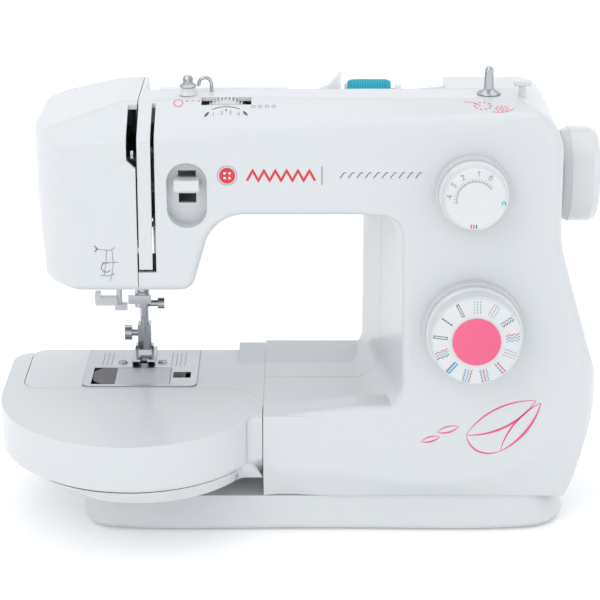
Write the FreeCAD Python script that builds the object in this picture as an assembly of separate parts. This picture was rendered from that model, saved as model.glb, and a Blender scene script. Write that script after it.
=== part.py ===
"""A mechanical domestic sewing machine, in millimetres.

The frame: X runs from the needle end (left) to the handwheel (right), Y runs from the operator to the
rear, and Z runs up from the table top. The origin is at the middle of the machine's footprint.
The casing is a set of thin moulded shells round a cast frame. The frame carries the upper shaft, the
needle bar, the presser bar, the lower shaft and its hook, the feed, the motor and the dials.
"""

import FreeCAD
import Part
import math
import os

V = FreeCAD.Vector
X_AXIS = V(1, 0, 0)
Y_AXIS = V(0, 1, 0)
Z_AXIS = V(0, 0, 1)

# Overall sizes
OVERALL_WIDTH = 389.0
OVERALL_DEPTH = 165.0
LEFT_X = -OVERALL_WIDTH / 2
RIGHT_X = OVERALL_WIDTH / 2
FRONT_Y = -OVERALL_DEPTH / 2
REAR_Y = OVERALL_DEPTH / 2
BED_Z = 82.0
TOP_Z = 281.0

# Common thicknesses and clearances
WALL = 2.6
SEAM = 0.5
RUN = 0.05
EASY = 0.4

# Casing
CASE_LEFT_X = -166.5
CASE_RIGHT_X = 166.0
CASE_WIDEST_X = 193.0
CASE_WIDEST_Z = 83.0
CASE_FOOT_X = 174.0
CASE_BOTTOM_Z = 24.0
CREASE_Z = 50.0
CREASE_Y = -38.0
CASE_FOOT_Y = -31.0
CREASE_LINE = ((-24.0, 51.0), (20.0, 44.5), (57.0, 39.0), (94.0, 36.5), (131.0, 44.0), (163.0, 62.0), (182.0, 78.0),
               (200.0, 92.0))
FRONT_LEAN = 17.0 / 222.0
BAND_LEFT_Z = 258.5
BAND_RIGHT_Z = 278.5
RIDGE_FRONT_Y = 8.0
SPLIT_Y = 30.0
HEAD_BOTTOM_Z = 165.0
ARM_UNDER_Z = 213.6
HEAD_RIGHT_X = -66.0
COLUMN_LEFT_FRONT_X = 69.0
COLUMN_LEFT_REAR_X = 45.0
BED_END_X = -21.7
RIM_Z = 89.0
OUTER_ROUND = 10.0
THROAT_ROUND = 5.0
RIDGE_ROUND = 12.0
RIM_BACK_Y = -16.0
RAMP_FRONT_Y = 55.0
RAMP_Z = 88.5
RAMP_LEFT_X = -40.0

# Shelf at the rear of the arm's top, which holds the handle and the spool
SHELF_Z = 262.0
SHELF_FRONT_Y = 31.0
SHELF_LEFT_X = -97.0
SHELF_RIGHT_X = 96.0
POCKET_Z = 249.0
POCKET_FRONT_Y = 40.0
POCKET_REAR_Y = 79.0
POCKET_LEFT_X = -2.0

# Threading slots and the strip between them
TAKE_UP_X = -102.0
FACE_EDGE_X = -99.8
SLOT_LEFT_X = -105.4
STRIP_LEFT_X = -98.7
STRIP_RIGHT_X = -90.4
SLOT_RIGHT_X = -88.0
STRIP_BOTTOM_Z = 179.5
SLOT_BOTTOM_Z = 247.0
SLOT_TOP_Y = 3.0
STRIP_PROUD = 0.5

# Needle, presser bar and shafts
NEEDLE_X = -104.5
NEEDLE_Y = 54.0
PRESSER_Y = 67.0
SHAFT_Y = 42.0
SHAFT_Z = 221.5
SHAFT_R = 4.5
CRANK_R = 15.5
LINK_LENGTH = 30.0
NEEDLE_BAR_R = 3.2
PRESSER_BAR_R = 3.0
CLAMP_Z = 130.0
NEEDLE_TIP_Z = 97.0
NEEDLE_STROKE = 2 * CRANK_R
LOWER_SHAFT_Y = 51.0
LOWER_SHAFT_Z = 54.0
LOWER_SHAFT_R = 4.0
HOOK_X = -106.0
HOOK_Y = 35.0
HOOK_R = 18.3
BOBBIN_R = 10.0
TIMING_X = 84.0
TIMING_R = 11.0
TIMING_WIDTH = 8.0
PULLEY_X = 141.0
PULLEY_R = 30.0
PULLEY_WIDTH = 10.0
MOTOR_Y = 18.0
MOTOR_Z = 64.0
MOTOR_R = 23.0
MOTOR_PULLEY_R = 6.0

# Bed parts
ARM_END_X = -182.0
ARM_FRONT_Y = 12.0
ARM_REAR_Y = 80.0
ARM_BOTTOM_Z = 40.0
PLATE_LEFT_X = -143.0
PLATE_RIGHT_X = -67.0
PLATE_FRONT_Y = 14.0
PLATE_REAR_Y = 78.0
PLATE_THICK = 1.2
PLATE_PROUD = 0.7
COVER_LEFT_X = -137.5
COVER_RIGHT_X = -84.8
COVER_FRONT_Y = 17.0
COVER_REAR_Y = 45.6
WINDOW_SPLIT_X = -121.5
TABLE_R = 88.0
TABLE_X = LEFT_X + TABLE_R
TABLE_Y = FRONT_Y + TABLE_R
TABLE_RIDGE_Z = 53.0
TABLE_BOTTOM_Z = 38.0
ARM_CORNER_R = 30.0
TABLE_WALL = 2.4

# Base
BASE_LEFT_X = -141.0
BASE_RIGHT_X = 177.0
BASE_FRONT_Y = -35.0
BASE_REAR_Y = 79.0
FOOT_HEIGHT = 3.0
FOOT_R = 9.0

# Handwheel, dials and levers
HANDWHEEL_R = 31.0
HANDWHEEL_LEFT_X = 168.2
LENGTH_DIAL_X = 109.0
LENGTH_DIAL_Z = 229.5
LENGTH_DIAL_R = 21.5
PATTERN_DIAL_X = 111.5
PATTERN_DIAL_Z = 140.5
PATTERN_DIAL_R = 30.5
DIAL_BOSS = 7.0
LENGTH_DIAL_DEPTH = 16.0
PATTERN_DIAL_DEPTH = 19.0
RECESS_X = -68.3
RECESS_Z = 227.0
RECESS_WIDTH = 25.0
RECESS_HEIGHT = 41.0
RECESS_DEPTH = 8.0
LEVER_WIDTH = 15.5
LEVER_PIVOT_Y = 4.0
TENSION_X = -44.0
TENSION_Y = 6.0
TENSION_R = 17.0
TENSION_WIDTH = 7.0
TENSION_Z = 264.5
TENSION_WALL_Y = TENSION_Y + 16.0

# Top pieces
WINDER_X = 121.0
WINDER_Y = 18.0
WINDER_TRAVEL = 4.0
STOPPER_X = 142.0
STOPPER_Y = 16.0
POST_X = -68.5
POST_Y = 17.0
SPOOL_Y = 60.0
SPOOL_Z = 268.0
SPOOL_R = 12.0
SPOOL_LEFT_X = 31.0
SPOOL_RIGHT_X = 68.0
SPOOL_PIN_R = 2.5
CAP_LEFT_X = 14.0
CAP_RIGHT_X = 28.5
CAP_R = 16.5
HANDLE_LEFT_X = -90.0
HANDLE_RIGHT_X = -6.0
HANDLE_PIVOT_Y = 42.0
HANDLE_PIVOT_Z = 267.5
HANDLE_PIN_R = 2.0
OVERALL_HEIGHT = 298.5
WINDER_R = 2.9
WINDER_ARM_Z = 268.0
STEM_R = 2.4
HOOK_GUIDE_X = -54.0
HOOK_GUIDE_Y = 24.0
WIRE_R = 1.2
SPOOL_PIN_END_X = 10.0

# Small fittings
DIAL_SPINDLE_R = 5.0
PATTERN_CAP_R = 15.0
LEVER_PIVOT_Z = 233.0
TENSION_SPINDLE_R = 2.5
SOCKET_X = 168.0
SOCKET_Y = 44.0
SOCKET_Z = 56.0
SWITCH_Y = 14.0
SCREW_Y = 44.0
CASE_SCREWS = ((-160.0, 186.0), (-164.9, 250.0))
SCREW_R = 1.6
SCREW_HEAD_R = 3.2
PLATE_SCREWS = ((-119.0, 55.0), (-92.0, 55.5))
LATCH_LEFT_X = -83.4
LATCH_RIGHT_X = -74.6
LATCH_Y = 33.0
LATCH_TRAVEL = 3.0
DOG_SPREAD = 5.2
DOG_FRONT_Y = 49.5
DOG_REAR_Y = 64.0
DOG_DROP = 1.3
FEED_BAR_END_X = -62.0
HOOK_Z = 64.5
HOOK_DEPTH = 11.4
CASE_HEIGHT = 10.2
HOOK_SHAFT_R = 3.0
PINION_R = 5.6
BOBBIN_H = 10.4
TABLE_REAR_Y = 75.0
STORE_LEFT_X = -165.0
STORE_RIGHT_X = -62.0
FOOT_SPOTS = ((-120.0, -14.0), (152.0, -14.0), (152.0, 60.0), (-120.0, 60.0))

# Frame
FRAME_Z = 30.0
FRAME_LEFT_X = -84.0
FRAME_RIGHT_X = 130.0
BEAM_FRONT_Y = 56.0
BEAM_REAR_Y = 74.0
BEARING_XS = (-84.0, 122.0)
BEARING_WIDTH = 7.0
LOWER_BEARING_XS = (-94.0, -55.0, 62.0)
HEAD_PLATE_X = -113.0
GUIDE_LOW_Z = 167.8
GUIDE_HIGH_Z = 216.0
GUIDE_THICK = 6.0
COLUMN_FRAME_X = 92.0
CRANK_X = -92.0
CRANK_THICK = 6.0
CRANK_PIN_R = 2.5
NEEDLE_BAR_TOP_Z = 262.0
THREADER_X = -120.0
THREADER_R = 2.0
TAKE_UP_Y = 24.0
TAKE_UP_Z = 236.0
TAKE_UP_PIN_R = 2.4
TAKE_UP_LENGTH = 44.0
TAKE_UP_REST = 20.0
LIFTER_X = -97.0
LIFTER_Y = 71.0
LIFTER_Z = 177.0
FOOT_Z = 83.1
FOOT_FRONT_Y = 46.0
FOOT_REAR_Y = 77.0
FOOT_WIDTH = 15.5
FOOT_PIVOT_Y = 65.0
FOOT_PIVOT_Z = 90.0
MOTOR_LEFT_X = 92.0
MOTOR_LENGTH = 42.0
MOTOR_SHAFT_R = 2.5
BELT_GAP = 0.35
SLOT_GAP = 1.8


# ---------------------------------------------------------------- helpers
def xy(z):
    """Places an outline's (a, b) as X and Y at height z."""
    return lambda a, b: V(a, b, z)


def xz(y):
    """Places an outline's (a, b) as X and Z at depth y."""
    return lambda a, b: V(a, y, b)


def yz(x):
    """Places an outline's (a, b) as Y and Z at station x."""
    return lambda a, b: V(x, a, b)


def outline(points, place):
    """A closed wire through (a, b, radius) corners, each corner rounded by a tangent arc."""
    n = len(points)
    starts, arcs = [], []
    for i in range(n):
        a, b, r = points[i]
        here = V(a, b, 0)
        back = V(*points[i - 1][:2], 0) - here
        ahead = V(*points[(i + 1) % n][:2], 0) - here
        back.normalize()
        ahead.normalize()
        half = back.getAngle(ahead) / 2
        if r <= 0 or abs(half - math.pi / 2) < 1e-6:
            starts.append((here, here))
            arcs.append(None)
            continue
        reach = r / math.tan(half)
        middle = back + ahead
        middle.normalize()
        centre = here + middle * (r / math.sin(half))
        starts.append((here + back * reach, here + ahead * reach))
        arcs.append(centre - middle * r)
    edges = []
    for i in range(n):
        enter, leave = (place(p.x, p.y) for p in starts[i])
        if arcs[i] is not None:
            edges.append(Part.Arc(enter, place(arcs[i].x, arcs[i].y), leave).toShape())
        following = place(starts[(i + 1) % n][0].x, starts[(i + 1) % n][0].y)
        if leave.distanceToPoint(following) > 1e-6:
            edges.append(Part.LineSegment(leave, following).toShape())
    return Part.Wire(edges)


def inset(points, d):
    """The outline moved inwards by d, with radii that keep the wall even. Corners run anticlockwise."""
    n = len(points)
    moved = []
    for i in range(n):
        p0 = V(*points[i - 1][:2], 0)
        p1 = V(*points[i][:2], 0)
        p2 = V(*points[(i + 1) % n][:2], 0)
        u = p1 - p0
        w = p2 - p1
        u.normalize()
        w.normalize()
        turn = u.x * w.y - u.y * w.x
        nu = V(-u.y, u.x, 0)
        nw = V(-w.y, w.x, 0)
        away = (nu + nw) * (d / (1 + nu.dot(nw)))
        r = points[i][2]
        r = max(r - d, 0.6) if turn > 0 else r + d
        moved.append((p1.x + away.x, p1.y + away.y, r if points[i][2] > 0 else 0))
    return moved


def prism(points, plane, low, high):
    """The outline drawn in plane xy, xz or yz and carried from low to high."""
    along = {xy: Z_AXIS, xz: Y_AXIS, yz: X_AXIS}[plane]
    return Part.Face(outline(points, plane(low))).extrude(along * (high - low))


def loft(points_a, place_a, points_b, place_b):
    """A solid with straight sides between two outlines that have the same corners."""
    return Part.makeLoft([outline(points_a, place_a), outline(points_b, place_b)], True, True)


def box(x0, x1, y0, y1, z0, z1):
    """An upright box between two corners."""
    return Part.makeBox(x1 - x0, y1 - y0, z1 - z0, V(x0, y0, z0))


def rod(start, axis, r, length):
    """A cylinder from start along axis."""
    return Part.makeCylinder(r, length, start, axis)


def tube(start, axis, r_out, r_in, length):
    """A hollow cylinder from start along axis."""
    return rod(start, axis, r_out, length).cut(rod(start, axis, r_in, length))


def turned(profile, start, axis):
    """A turned piece from (distance along the axis, radius) points, starting and ending on the axis."""
    turn = FreeCAD.Rotation(Z_AXIS, axis)
    points = [start + turn.multVec(V(r, 0, s)) for s, r in profile]
    return Part.Face(Part.makePolygon(points + points[:1])).revolve(start, axis, 360)


def joined(first, *others):
    """One solid from touching pieces."""
    return first.fuse(list(others)).removeSplitter()


def edges_near(solid, test):
    """The edges whose middle point passes the test."""
    found = []
    for e in solid.Edges:
        if e.Length < 0.5:
            continue
        middle = e.valueAt((e.FirstParameter + e.LastParameter) / 2)
        if test(middle):
            found.append(e)
    return found


def front_y(z):
    """Where the leaning front face of the casing stands at height z."""
    return CREASE_Y + (z - CREASE_Z) * FRONT_LEAN


def front_axis():
    """The outward normal of the leaning front face."""
    n = V(0, -1, FRONT_LEAN)
    n.normalize()
    return n


def on_front(x, z, proud=0.0):
    """A point on the front face, moved out by proud."""
    return V(x, front_y(z), z) + front_axis() * proud


# ---------------------------------------------------------------- casing
def silhouette():
    """The casing seen from the front, anticlockwise from the foot."""
    return [
        (CASE_LEFT_X + 6.0, CASE_BOTTOM_Z - 20, 0),
        (CASE_FOOT_X - 6.0, CASE_BOTTOM_Z - 20, 0),
        (CASE_WIDEST_X + 3.5, CASE_WIDEST_Z + 8, 60),
        (CASE_RIGHT_X, 194.0, 110),
        (CASE_RIGHT_X, TOP_Z, 30),
        (-62.0, TOP_Z, 160),
        (-112.0, TOP_Z - 2.0, 60),
        (CASE_LEFT_X, TOP_Z - 17.5, 6),
        (CASE_LEFT_X, 236.0, 60),
        (CASE_LEFT_X + 6.5, 171.0, 0),
    ]


def side_profile():
    """The casing seen from the right, anticlockwise from the front foot."""
    return [
        (front_y(CASE_BOTTOM_Z - 20), CASE_BOTTOM_Z - 20, 0),
        (REAR_Y, CASE_BOTTOM_Z - 20, 0),
        (REAR_Y, TOP_Z, 22),
        (front_y(TOP_Z), TOP_Z, 0),
    ]


def plan():
    """The casing seen from above, anticlockwise from the head's front left."""
    return [
        (CASE_LEFT_X, CREASE_Y - 1.0, 62),
        (CASE_WIDEST_X + 1.0, CREASE_Y - 1.0, 34),
        (CASE_WIDEST_X + 1.0, REAR_Y, 26),
        (CASE_LEFT_X, REAR_Y, 20),
    ]


def bed_rim(d):
    """The low rim along the front of the bed, which climbs towards the column, sunk by d."""
    left = BED_END_X + d
    rise = [
        (left, BED_Z - d, 0), (left, BED_Z - 20, 0), (COLUMN_LEFT_FRONT_X + 12, BED_Z - 20, 0),
        (COLUMN_LEFT_FRONT_X + 12, RIM_Z - d, 0), (COLUMN_LEFT_FRONT_X - 30, RIM_Z - d, 0),
    ]
    return prism(rise, xz, CREASE_Y - 2, RIM_BACK_Y - d)


def bed_ramp(d, x0, x1):
    """The strip along the rear of the bed that rises towards the back, sunk by d."""
    rise = [
        (RAMP_FRONT_Y, BED_Z - d, 0), (RAMP_FRONT_Y, BED_Z - 20, 0), (REAR_Y + 2, BED_Z - 20, 0),
        (REAR_Y + 2, RAMP_Z - d, 0),
    ]
    return prism(rise, yz, x0, x1)


def throat(d):
    """The tapered space under the arm and left of the column, narrower at the rear, grown by d."""
    def section(column_x, corner_r, foot_r):
        return [
            (CASE_LEFT_X - 4, HEAD_BOTTOM_Z + 8 + d, 0),
            (CASE_LEFT_X - 4, -4, 0),
            (BED_END_X + d, -4, 0),
            (BED_END_X + d, BED_Z + 0.3 - d, 0),
            (column_x + d, BED_Z + 0.3 - d, foot_r + d),
            (column_x + d, ARM_UNDER_Z + d, corner_r + d),
            (HEAD_RIGHT_X + 14.0 - d * 0.35, ARM_UNDER_Z + d, 26 - d),
            (HEAD_RIGHT_X - d, HEAD_BOTTOM_Z + d, 10 - d),
            (CASE_LEFT_X + 12.5, HEAD_BOTTOM_Z + d, 8 + d),
        ]
    front, rear = CREASE_Y - 1.5, REAR_Y + 0.5
    space = loft(section(COLUMN_LEFT_FRONT_X, 16, 24), xz(front), section(COLUMN_LEFT_REAR_X, 7, 14), xz(rear))
    return space.cut(bed_rim(d)).cut(bed_ramp(d, BED_END_X + d, COLUMN_LEFT_FRONT_X + 12))


def band_cutter(d):
    """What the sloping band removes above the front face: it is steeper at the head than at the column."""
    def section(crease_z):
        slope = (TOP_Z - crease_z) / (RIDGE_FRONT_Y - front_y(crease_z))
        drop = d * math.hypot(1, slope)
        far = -37.5
        return [
            (RIDGE_FRONT_Y, TOP_Z - drop, 0),
            (RIDGE_FRONT_Y, TOP_Z + 40, 0),
            (far, TOP_Z + 40, 0),
            (far, TOP_Z - drop - slope * (RIDGE_FRONT_Y - far), 0),
        ]
    return loft(section(BAND_LEFT_Z), yz(CASE_LEFT_X - 1), section(BAND_RIGHT_Z), yz(CASE_RIGHT_X + 1))


def shelf_cutter(d):
    """The shelf behind the arm's top ridge, and the pocket that the spool lies in, grown by d."""
    shelf = prism([
        (SHELF_LEFT_X - d, SHELF_FRONT_Y - d, 8), (SHELF_RIGHT_X + d, SHELF_FRONT_Y - d, 8),
        (SHELF_RIGHT_X + d, REAR_Y + 20, 0), (SHELF_LEFT_X - d, REAR_Y + 20, 0),
    ], xy, SHELF_Z - d, TOP_Z + 20)
    pocket = prism([
        (POCKET_LEFT_X - d, POCKET_FRONT_Y - d, 6), (SHELF_RIGHT_X + d, POCKET_FRONT_Y - d, 6),
        (SHELF_RIGHT_X + d, POCKET_REAR_Y + d, 6), (POCKET_LEFT_X - d, POCKET_REAR_Y + d, 6),
    ], xy, POCKET_Z - d, TOP_Z + 20)
    return joined(shelf, pocket)


def undercut(d):
    """The hollow sweep below the wavy crease at the foot of the front face, grown by d."""
    sections = []
    for x, crease_z in CREASE_LINE:
        y, z = front_y(crease_z), crease_z
        along_y, along_z = CASE_FOOT_Y - y, CASE_BOTTOM_Z - z
        length = math.hypot(along_y, along_z)
        along_y, along_z = along_y / length, along_z / length
        y, z = y - along_z * d, z + along_y * d
        top = (y - along_y * 12, z - along_z * 12, 0)
        low = (y + along_y * (length + 22), z + along_z * (length + 22), 0)
        sections.append(outline([top, low, (CREASE_Y - 8, low[1], 0), (CREASE_Y - 8, top[1], 0)], yz(x)))
    return Part.makeLoft(sections, True, False)


def casing_block(d):
    """The casing as a solid block, with every outer face moved inwards by d."""
    block = prism(inset(silhouette(), d) if d else silhouette(), xz, -120, 120)
    block = block.common(prism(inset(side_profile(), d) if d else side_profile(), yz, -220, 220))
    block = block.common(prism(inset(plan(), d) if d else plan(), xy, -20, 300))
    block = block.cut(band_cutter(d)).cut(undercut(d))
    block = softened(block.cut(throat(d)), d)
    return block.cut(shelf_cutter(d))


def softened(block, d):
    """The block with the edges round its front face rounded, less where the block is inset by d."""
    def on_front(p):
        return abs(p.y - front_y(p.z) - d) < 0.5

    def outer(p):
        right = p.x > 155 and 62 < p.z < 279
        left = p.x < -130
        top = p.z > 262 - d and abs(p.x) < 100
        return on_front(p) and (right or left or top)

    def low(p):
        return on_front(p) and p.x > -15 and p.z < 50 + d

    def throat_edge(p):
        inside = CASE_LEFT_X + 3 < p.x < COLUMN_LEFT_FRONT_X + 8 and p.z < ARM_UNDER_Z + 4
        return on_front(p) and inside and p.z > BED_Z + 2

    def ridge(p):
        return abs(p.z - TOP_Z) < 0.3 and abs(p.y - RIDGE_FRONT_Y) < 0.6

    for test, r in ((outer, OUTER_ROUND), (low, OUTER_ROUND), (throat_edge, THROAT_ROUND)):
        block = block.makeFillet(r - d, edges_near(block, test))
    if d == 0:
        block = block.makeFillet(RIDGE_ROUND, edges_near(block, ridge))
    return block


def casing_shell():
    """The whole hollow casing, before it is split into covers."""
    shell = casing_block(0).cut(casing_block(WALL))
    return shell.cut(box(-300, 300, -100, 100, -50, CASE_BOTTOM_Z))


def recess(d):
    """The reverse lever's pocket in the front face, grown by d."""
    half_w = RECESS_WIDTH / 2 + d
    half_h = RECESS_HEIGHT / 2 + d
    r = half_w - 0.5
    corners = [
        (RECESS_X - half_w, RECESS_Z - half_h, r), (RECESS_X + half_w, RECESS_Z - half_h, r),
        (RECESS_X + half_w, RECESS_Z + half_h, r), (RECESS_X - half_w, RECESS_Z + half_h, r),
    ]
    return prism(corners, xz, CREASE_Y - 5, front_y(RECESS_Z) + RECESS_DEPTH + d)


def case_with_fittings():
    """The casing with its dial bosses, its lever pocket and every opening, before it is split."""
    shell = casing_shell()
    liner = recess(WALL).common(casing_block(0)).cut(casing_block(WALL).cut(recess(WALL)))
    case = shell.fuse(liner)
    for x, z, r in ((LENGTH_DIAL_X, LENGTH_DIAL_Z, LENGTH_DIAL_R), (PATTERN_DIAL_X, PATTERN_DIAL_Z, PATTERN_DIAL_R)):
        boss = rod(on_front(x, z, -WALL - 1), front_axis(), r + 1.8, DIAL_BOSS + WALL + 1)
        case = case.fuse(boss)
    for x in (HANDLE_LEFT_X - 4.4, HANDLE_RIGHT_X + 0.4):
        case = case.fuse(box(x, x + 4.0, HANDLE_PIVOT_Y - 5, HANDLE_PIVOT_Y + 5, SHELF_Z - 1, HANDLE_PIVOT_Z + 5))
    cuts = [recess(0)]
    cuts.append(box(RECESS_X - 5.5, RECESS_X + 5.5, CREASE_Y, 0, RECESS_Z - 7, RECESS_Z + 14))
    for x, z in ((LENGTH_DIAL_X, LENGTH_DIAL_Z), (PATTERN_DIAL_X, PATTERN_DIAL_Z)):
        cuts.append(rod(on_front(x, z, -WALL - 6), front_axis(), DIAL_SPINDLE_R + EASY, DIAL_BOSS + WALL + 12))
    cuts.append(box(TENSION_X - TENSION_R + 1.4, TENSION_X + TENSION_R - 1.4, TENSION_Y - TENSION_WIDTH / 2 - EASY,
                    TENSION_Y + TENSION_WIDTH / 2 + EASY, TENSION_Z + 6, TOP_Z + 4))
    cuts.append(box(WINDER_X - WINDER_R - EASY, WINDER_X + WINDER_R + EASY + WINDER_TRAVEL,
                    WINDER_Y - WINDER_R - EASY, WINDER_Y + WINDER_R + EASY, TOP_Z - 6, TOP_Z + 4))
    cuts.append(rod(V(STOPPER_X, STOPPER_Y, TOP_Z - 8), Z_AXIS, STEM_R, 14))
    cuts.append(rod(V(POST_X, POST_Y, TOP_Z - 8), Z_AXIS, STEM_R, 14))
    cuts.append(rod(V(HOOK_GUIDE_X, HOOK_GUIDE_Y, TOP_Z - 8), Z_AXIS, WIRE_R, 14))
    cuts.append(rod(V(CASE_RIGHT_X - 20, SHAFT_Y, SHAFT_Z), X_AXIS, SHAFT_R + 3, 50))
    cuts.append(rod(V(SHELF_RIGHT_X - 1, SPOOL_Y, SPOOL_Z), X_AXIS, SPOOL_PIN_R, 12))
    cuts.append(rod(V(HANDLE_LEFT_X - 8, HANDLE_PIVOT_Y, HANDLE_PIVOT_Z), X_AXIS, HANDLE_PIN_R, 200))
    cuts.append(box(NEEDLE_X - 33, NEEDLE_X + 23, 38, 75, HEAD_BOTTOM_Z - 3, HEAD_BOTTOM_Z + 9))
    cuts.append(box(LIFTER_X - 2, LIFTER_X + 10, 70, REAR_Y + 1, HEAD_BOTTOM_Z - 3, HEAD_BOTTOM_Z + 13))
    cuts.append(box(BED_END_X - 1, BED_END_X + WALL + 1, ARM_FRONT_Y + WALL, ARM_REAR_Y - WALL,
                    ARM_BOTTOM_Z + WALL, BED_Z - WALL))
    cuts.append(box(SOCKET_X, CASE_WIDEST_X + 4, SOCKET_Y - 15, SOCKET_Y + 15, SOCKET_Z - 12, SOCKET_Z + 12))
    cuts.append(box(SOCKET_X, CASE_WIDEST_X + 4, SWITCH_Y - 11, SWITCH_Y + 11, SOCKET_Z - 12, SOCKET_Z + 12))
    for x, z in CASE_SCREWS:
        cuts.append(rod(V(CASE_LEFT_X - 1, SCREW_Y, z), X_AXIS, SCREW_HEAD_R + EASY, x - CASE_LEFT_X + 1))
    return case.cut(Part.makeCompound(cuts))


def covers():
    """The casing's pieces: front, rear, needle end, and the strip between the threading slots."""
    case = case_with_fittings()
    far = 400.0
    edge = FACE_EDGE_X + SEAM
    right_of_face = box(edge, far, -far, SPLIT_Y, -far, far)
    slots = box(edge - 1, SLOT_RIGHT_X, -far, SLOT_TOP_Y + 1.0, STRIP_BOTTOM_Z - SLOT_GAP, far)
    front = case.common(right_of_face).cut(slots)
    rear = case.common(box(edge, far, SPLIT_Y + SEAM, far, -far, far))
    taper = prism([
        (FACE_EDGE_X + 1, SLOT_BOTTOM_Z - 4, 0), (FACE_EDGE_X + 1, TOP_Z + 10, 0), (SLOT_LEFT_X, TOP_Z + 10, 0),
        (SLOT_LEFT_X, SLOT_BOTTOM_Z + 2, 0),
    ], xz, -far, SLOT_TOP_Y)
    face = case.common(box(-far, FACE_EDGE_X, -far, far, -far, far)).cut(taper)
    strip = case.common(box(STRIP_LEFT_X, STRIP_RIGHT_X, -far, SLOT_TOP_Y + 1.0, STRIP_BOTTOM_Z, far))
    strip.translate(V(0, -STRIP_PROUD, STRIP_PROUD / 2))
    return {
        "front_cover": largest(front), "rear_cover": largest(rear), "face_cover": largest(face),
        "thread_strip": largest(strip),
    }


def largest(shape):
    """The largest solid of a cut, without any crumbs beside it."""
    return max(shape.Solids, key=lambda s: s.Volume)


# ---------------------------------------------------------------- base, free arm and table
def base_outline(grow, rise):
    """The base seen from above, moved out by grow, for the height share rise."""
    return [
        (BASE_LEFT_X - grow + 2 * rise, BASE_FRONT_Y - grow + 5 * rise, 22),
        (BASE_RIGHT_X + grow - 3 * rise, BASE_FRONT_Y - grow + 5 * rise, 30),
        (BASE_RIGHT_X + grow - 3 * rise, BASE_REAR_Y + grow + 2 * rise, 20),
        (BASE_LEFT_X - grow + 2 * rise, BASE_REAR_Y + grow - 2 * rise, 20),
    ]


def base_tray():
    """The base moulding: open at the top under the casing, closed under the free arm."""
    low = FOOT_HEIGHT - 1.0
    top = CASE_BOTTOM_Z - SEAM
    outer = loft(base_outline(0, 0), xy(low), base_outline(0, 1), xy(top))
    outer = outer.makeChamfer(3.0, edges_near(outer, lambda p: p.z < low + 0.1))
    inner = loft(base_outline(-WALL, 0), xy(low + WALL), base_outline(-WALL, 1), xy(top + 1))
    tray = outer.cut(inner)
    lid = outer.common(box(-300, BED_END_X, -100, 100, top - WALL, top))
    pads = [rod(V(x, y, low), Z_AXIS, FOOT_R + 3, 5.5) for x, y in FOOT_SPOTS]
    tray = joined(tray, lid, *pads)
    for x, y in FOOT_SPOTS:
        tray = tray.cut(rod(V(x, y, low), Z_AXIS, FOOT_R, 2.0))
    for x in (-100.0, 20.0, 128.0):
        for y in (SHAFT_Y - 8, SHAFT_Y + 26):
            tray = tray.fuse(rod(V(x, y, low + 1), Z_AXIS, 5.0, FRAME_Z - low - 1 if x > BED_END_X else 8))
    return tray.removeSplitter()


def rubber_feet():
    """The soft feet under the base, each with a bevelled rim."""
    tall = FOOT_HEIGHT + 1.0
    return [turned([(0, 0), (0, FOOT_R - 1), (1, FOOT_R), (tall, FOOT_R), (tall, 0)], V(x, y, 0), Z_AXIS)
            for x, y in FOOT_SPOTS]


def arm_outline(gap):
    """The free arm seen from above, grown by gap, with the flared corner where it meets the bed."""
    return [
        (ARM_END_X - gap, ARM_FRONT_Y - gap, 12 + gap),
        (BED_END_X - SEAM, ARM_FRONT_Y - gap, ARM_CORNER_R - gap),
        (BED_END_X - SEAM, ARM_FRONT_Y - ARM_CORNER_R - 0.5, 0),
        (BED_END_X - SEAM + (40 if gap else 0.4), ARM_FRONT_Y - ARM_CORNER_R - 0.5, 0),
        (BED_END_X - SEAM + (40 if gap else 0.4), ARM_REAR_Y + (40 if gap else 0), 0),
        (ARM_END_X - gap, ARM_REAR_Y + (40 if gap else 0), 0 if gap else 10),
    ]


def free_arm_cover():
    """The slim arm that cuffs and sleeves slide over, with the recess for the needle plate."""
    arm = prism(arm_outline(0), xy, ARM_BOTTOM_Z, BED_Z)
    arm = arm.fuse(bed_ramp(0, RAMP_LEFT_X, BED_END_X - SEAM + 0.4).common(
        box(-300, 300, -100, ARM_REAR_Y, BED_Z - 5, 300)))
    inner = box(ARM_END_X + WALL, BED_END_X + 5, ARM_FRONT_Y + WALL, ARM_REAR_Y - WALL, ARM_BOTTOM_Z + WALL,
                BED_Z - WALL)
    inner = inner.makeFillet(8.0, edges_near(inner, lambda p: p.x < ARM_END_X + 5 and abs(p.z - 61) < 1))
    arm = arm.cut(inner)
    ledge = box(PLATE_LEFT_X - 0.3, PLATE_RIGHT_X + 0.3, PLATE_FRONT_Y - 0.3, PLATE_REAR_Y + 0.3,
                BED_Z + PLATE_PROUD - PLATE_THICK, BED_Z + 5)
    hole = box(PLATE_LEFT_X + 3.5, PLATE_RIGHT_X - 3.5, ARM_FRONT_Y + WALL + 0.4, ARM_REAR_Y - WALL - 1.5,
               BED_Z - WALL - 1, BED_Z + 5)
    return largest(arm.cut(ledge).cut(hole))


def table_outline(step):
    """The extension table seen from above, moved inwards by step."""
    r = TABLE_R - step
    front = FRONT_Y + step
    join_y = CREASE_Y + 1.5 + step
    rise = join_y - TABLE_Y
    join_x = TABLE_X + math.sqrt(r * r - rise * rise)
    corner_x = join_x - (join_y - front) * -rise / (join_x - TABLE_X)
    return [
        (LEFT_X + step, front, r), (corner_x, front, r), (join_x, join_y, 10 + step),
        (BED_END_X - SEAM - step, join_y, 0), (BED_END_X - SEAM - step, TABLE_REAR_Y - step, 0),
        (LEFT_X + step, TABLE_REAR_Y - step, max(15 - step, 2)),
    ]


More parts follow.
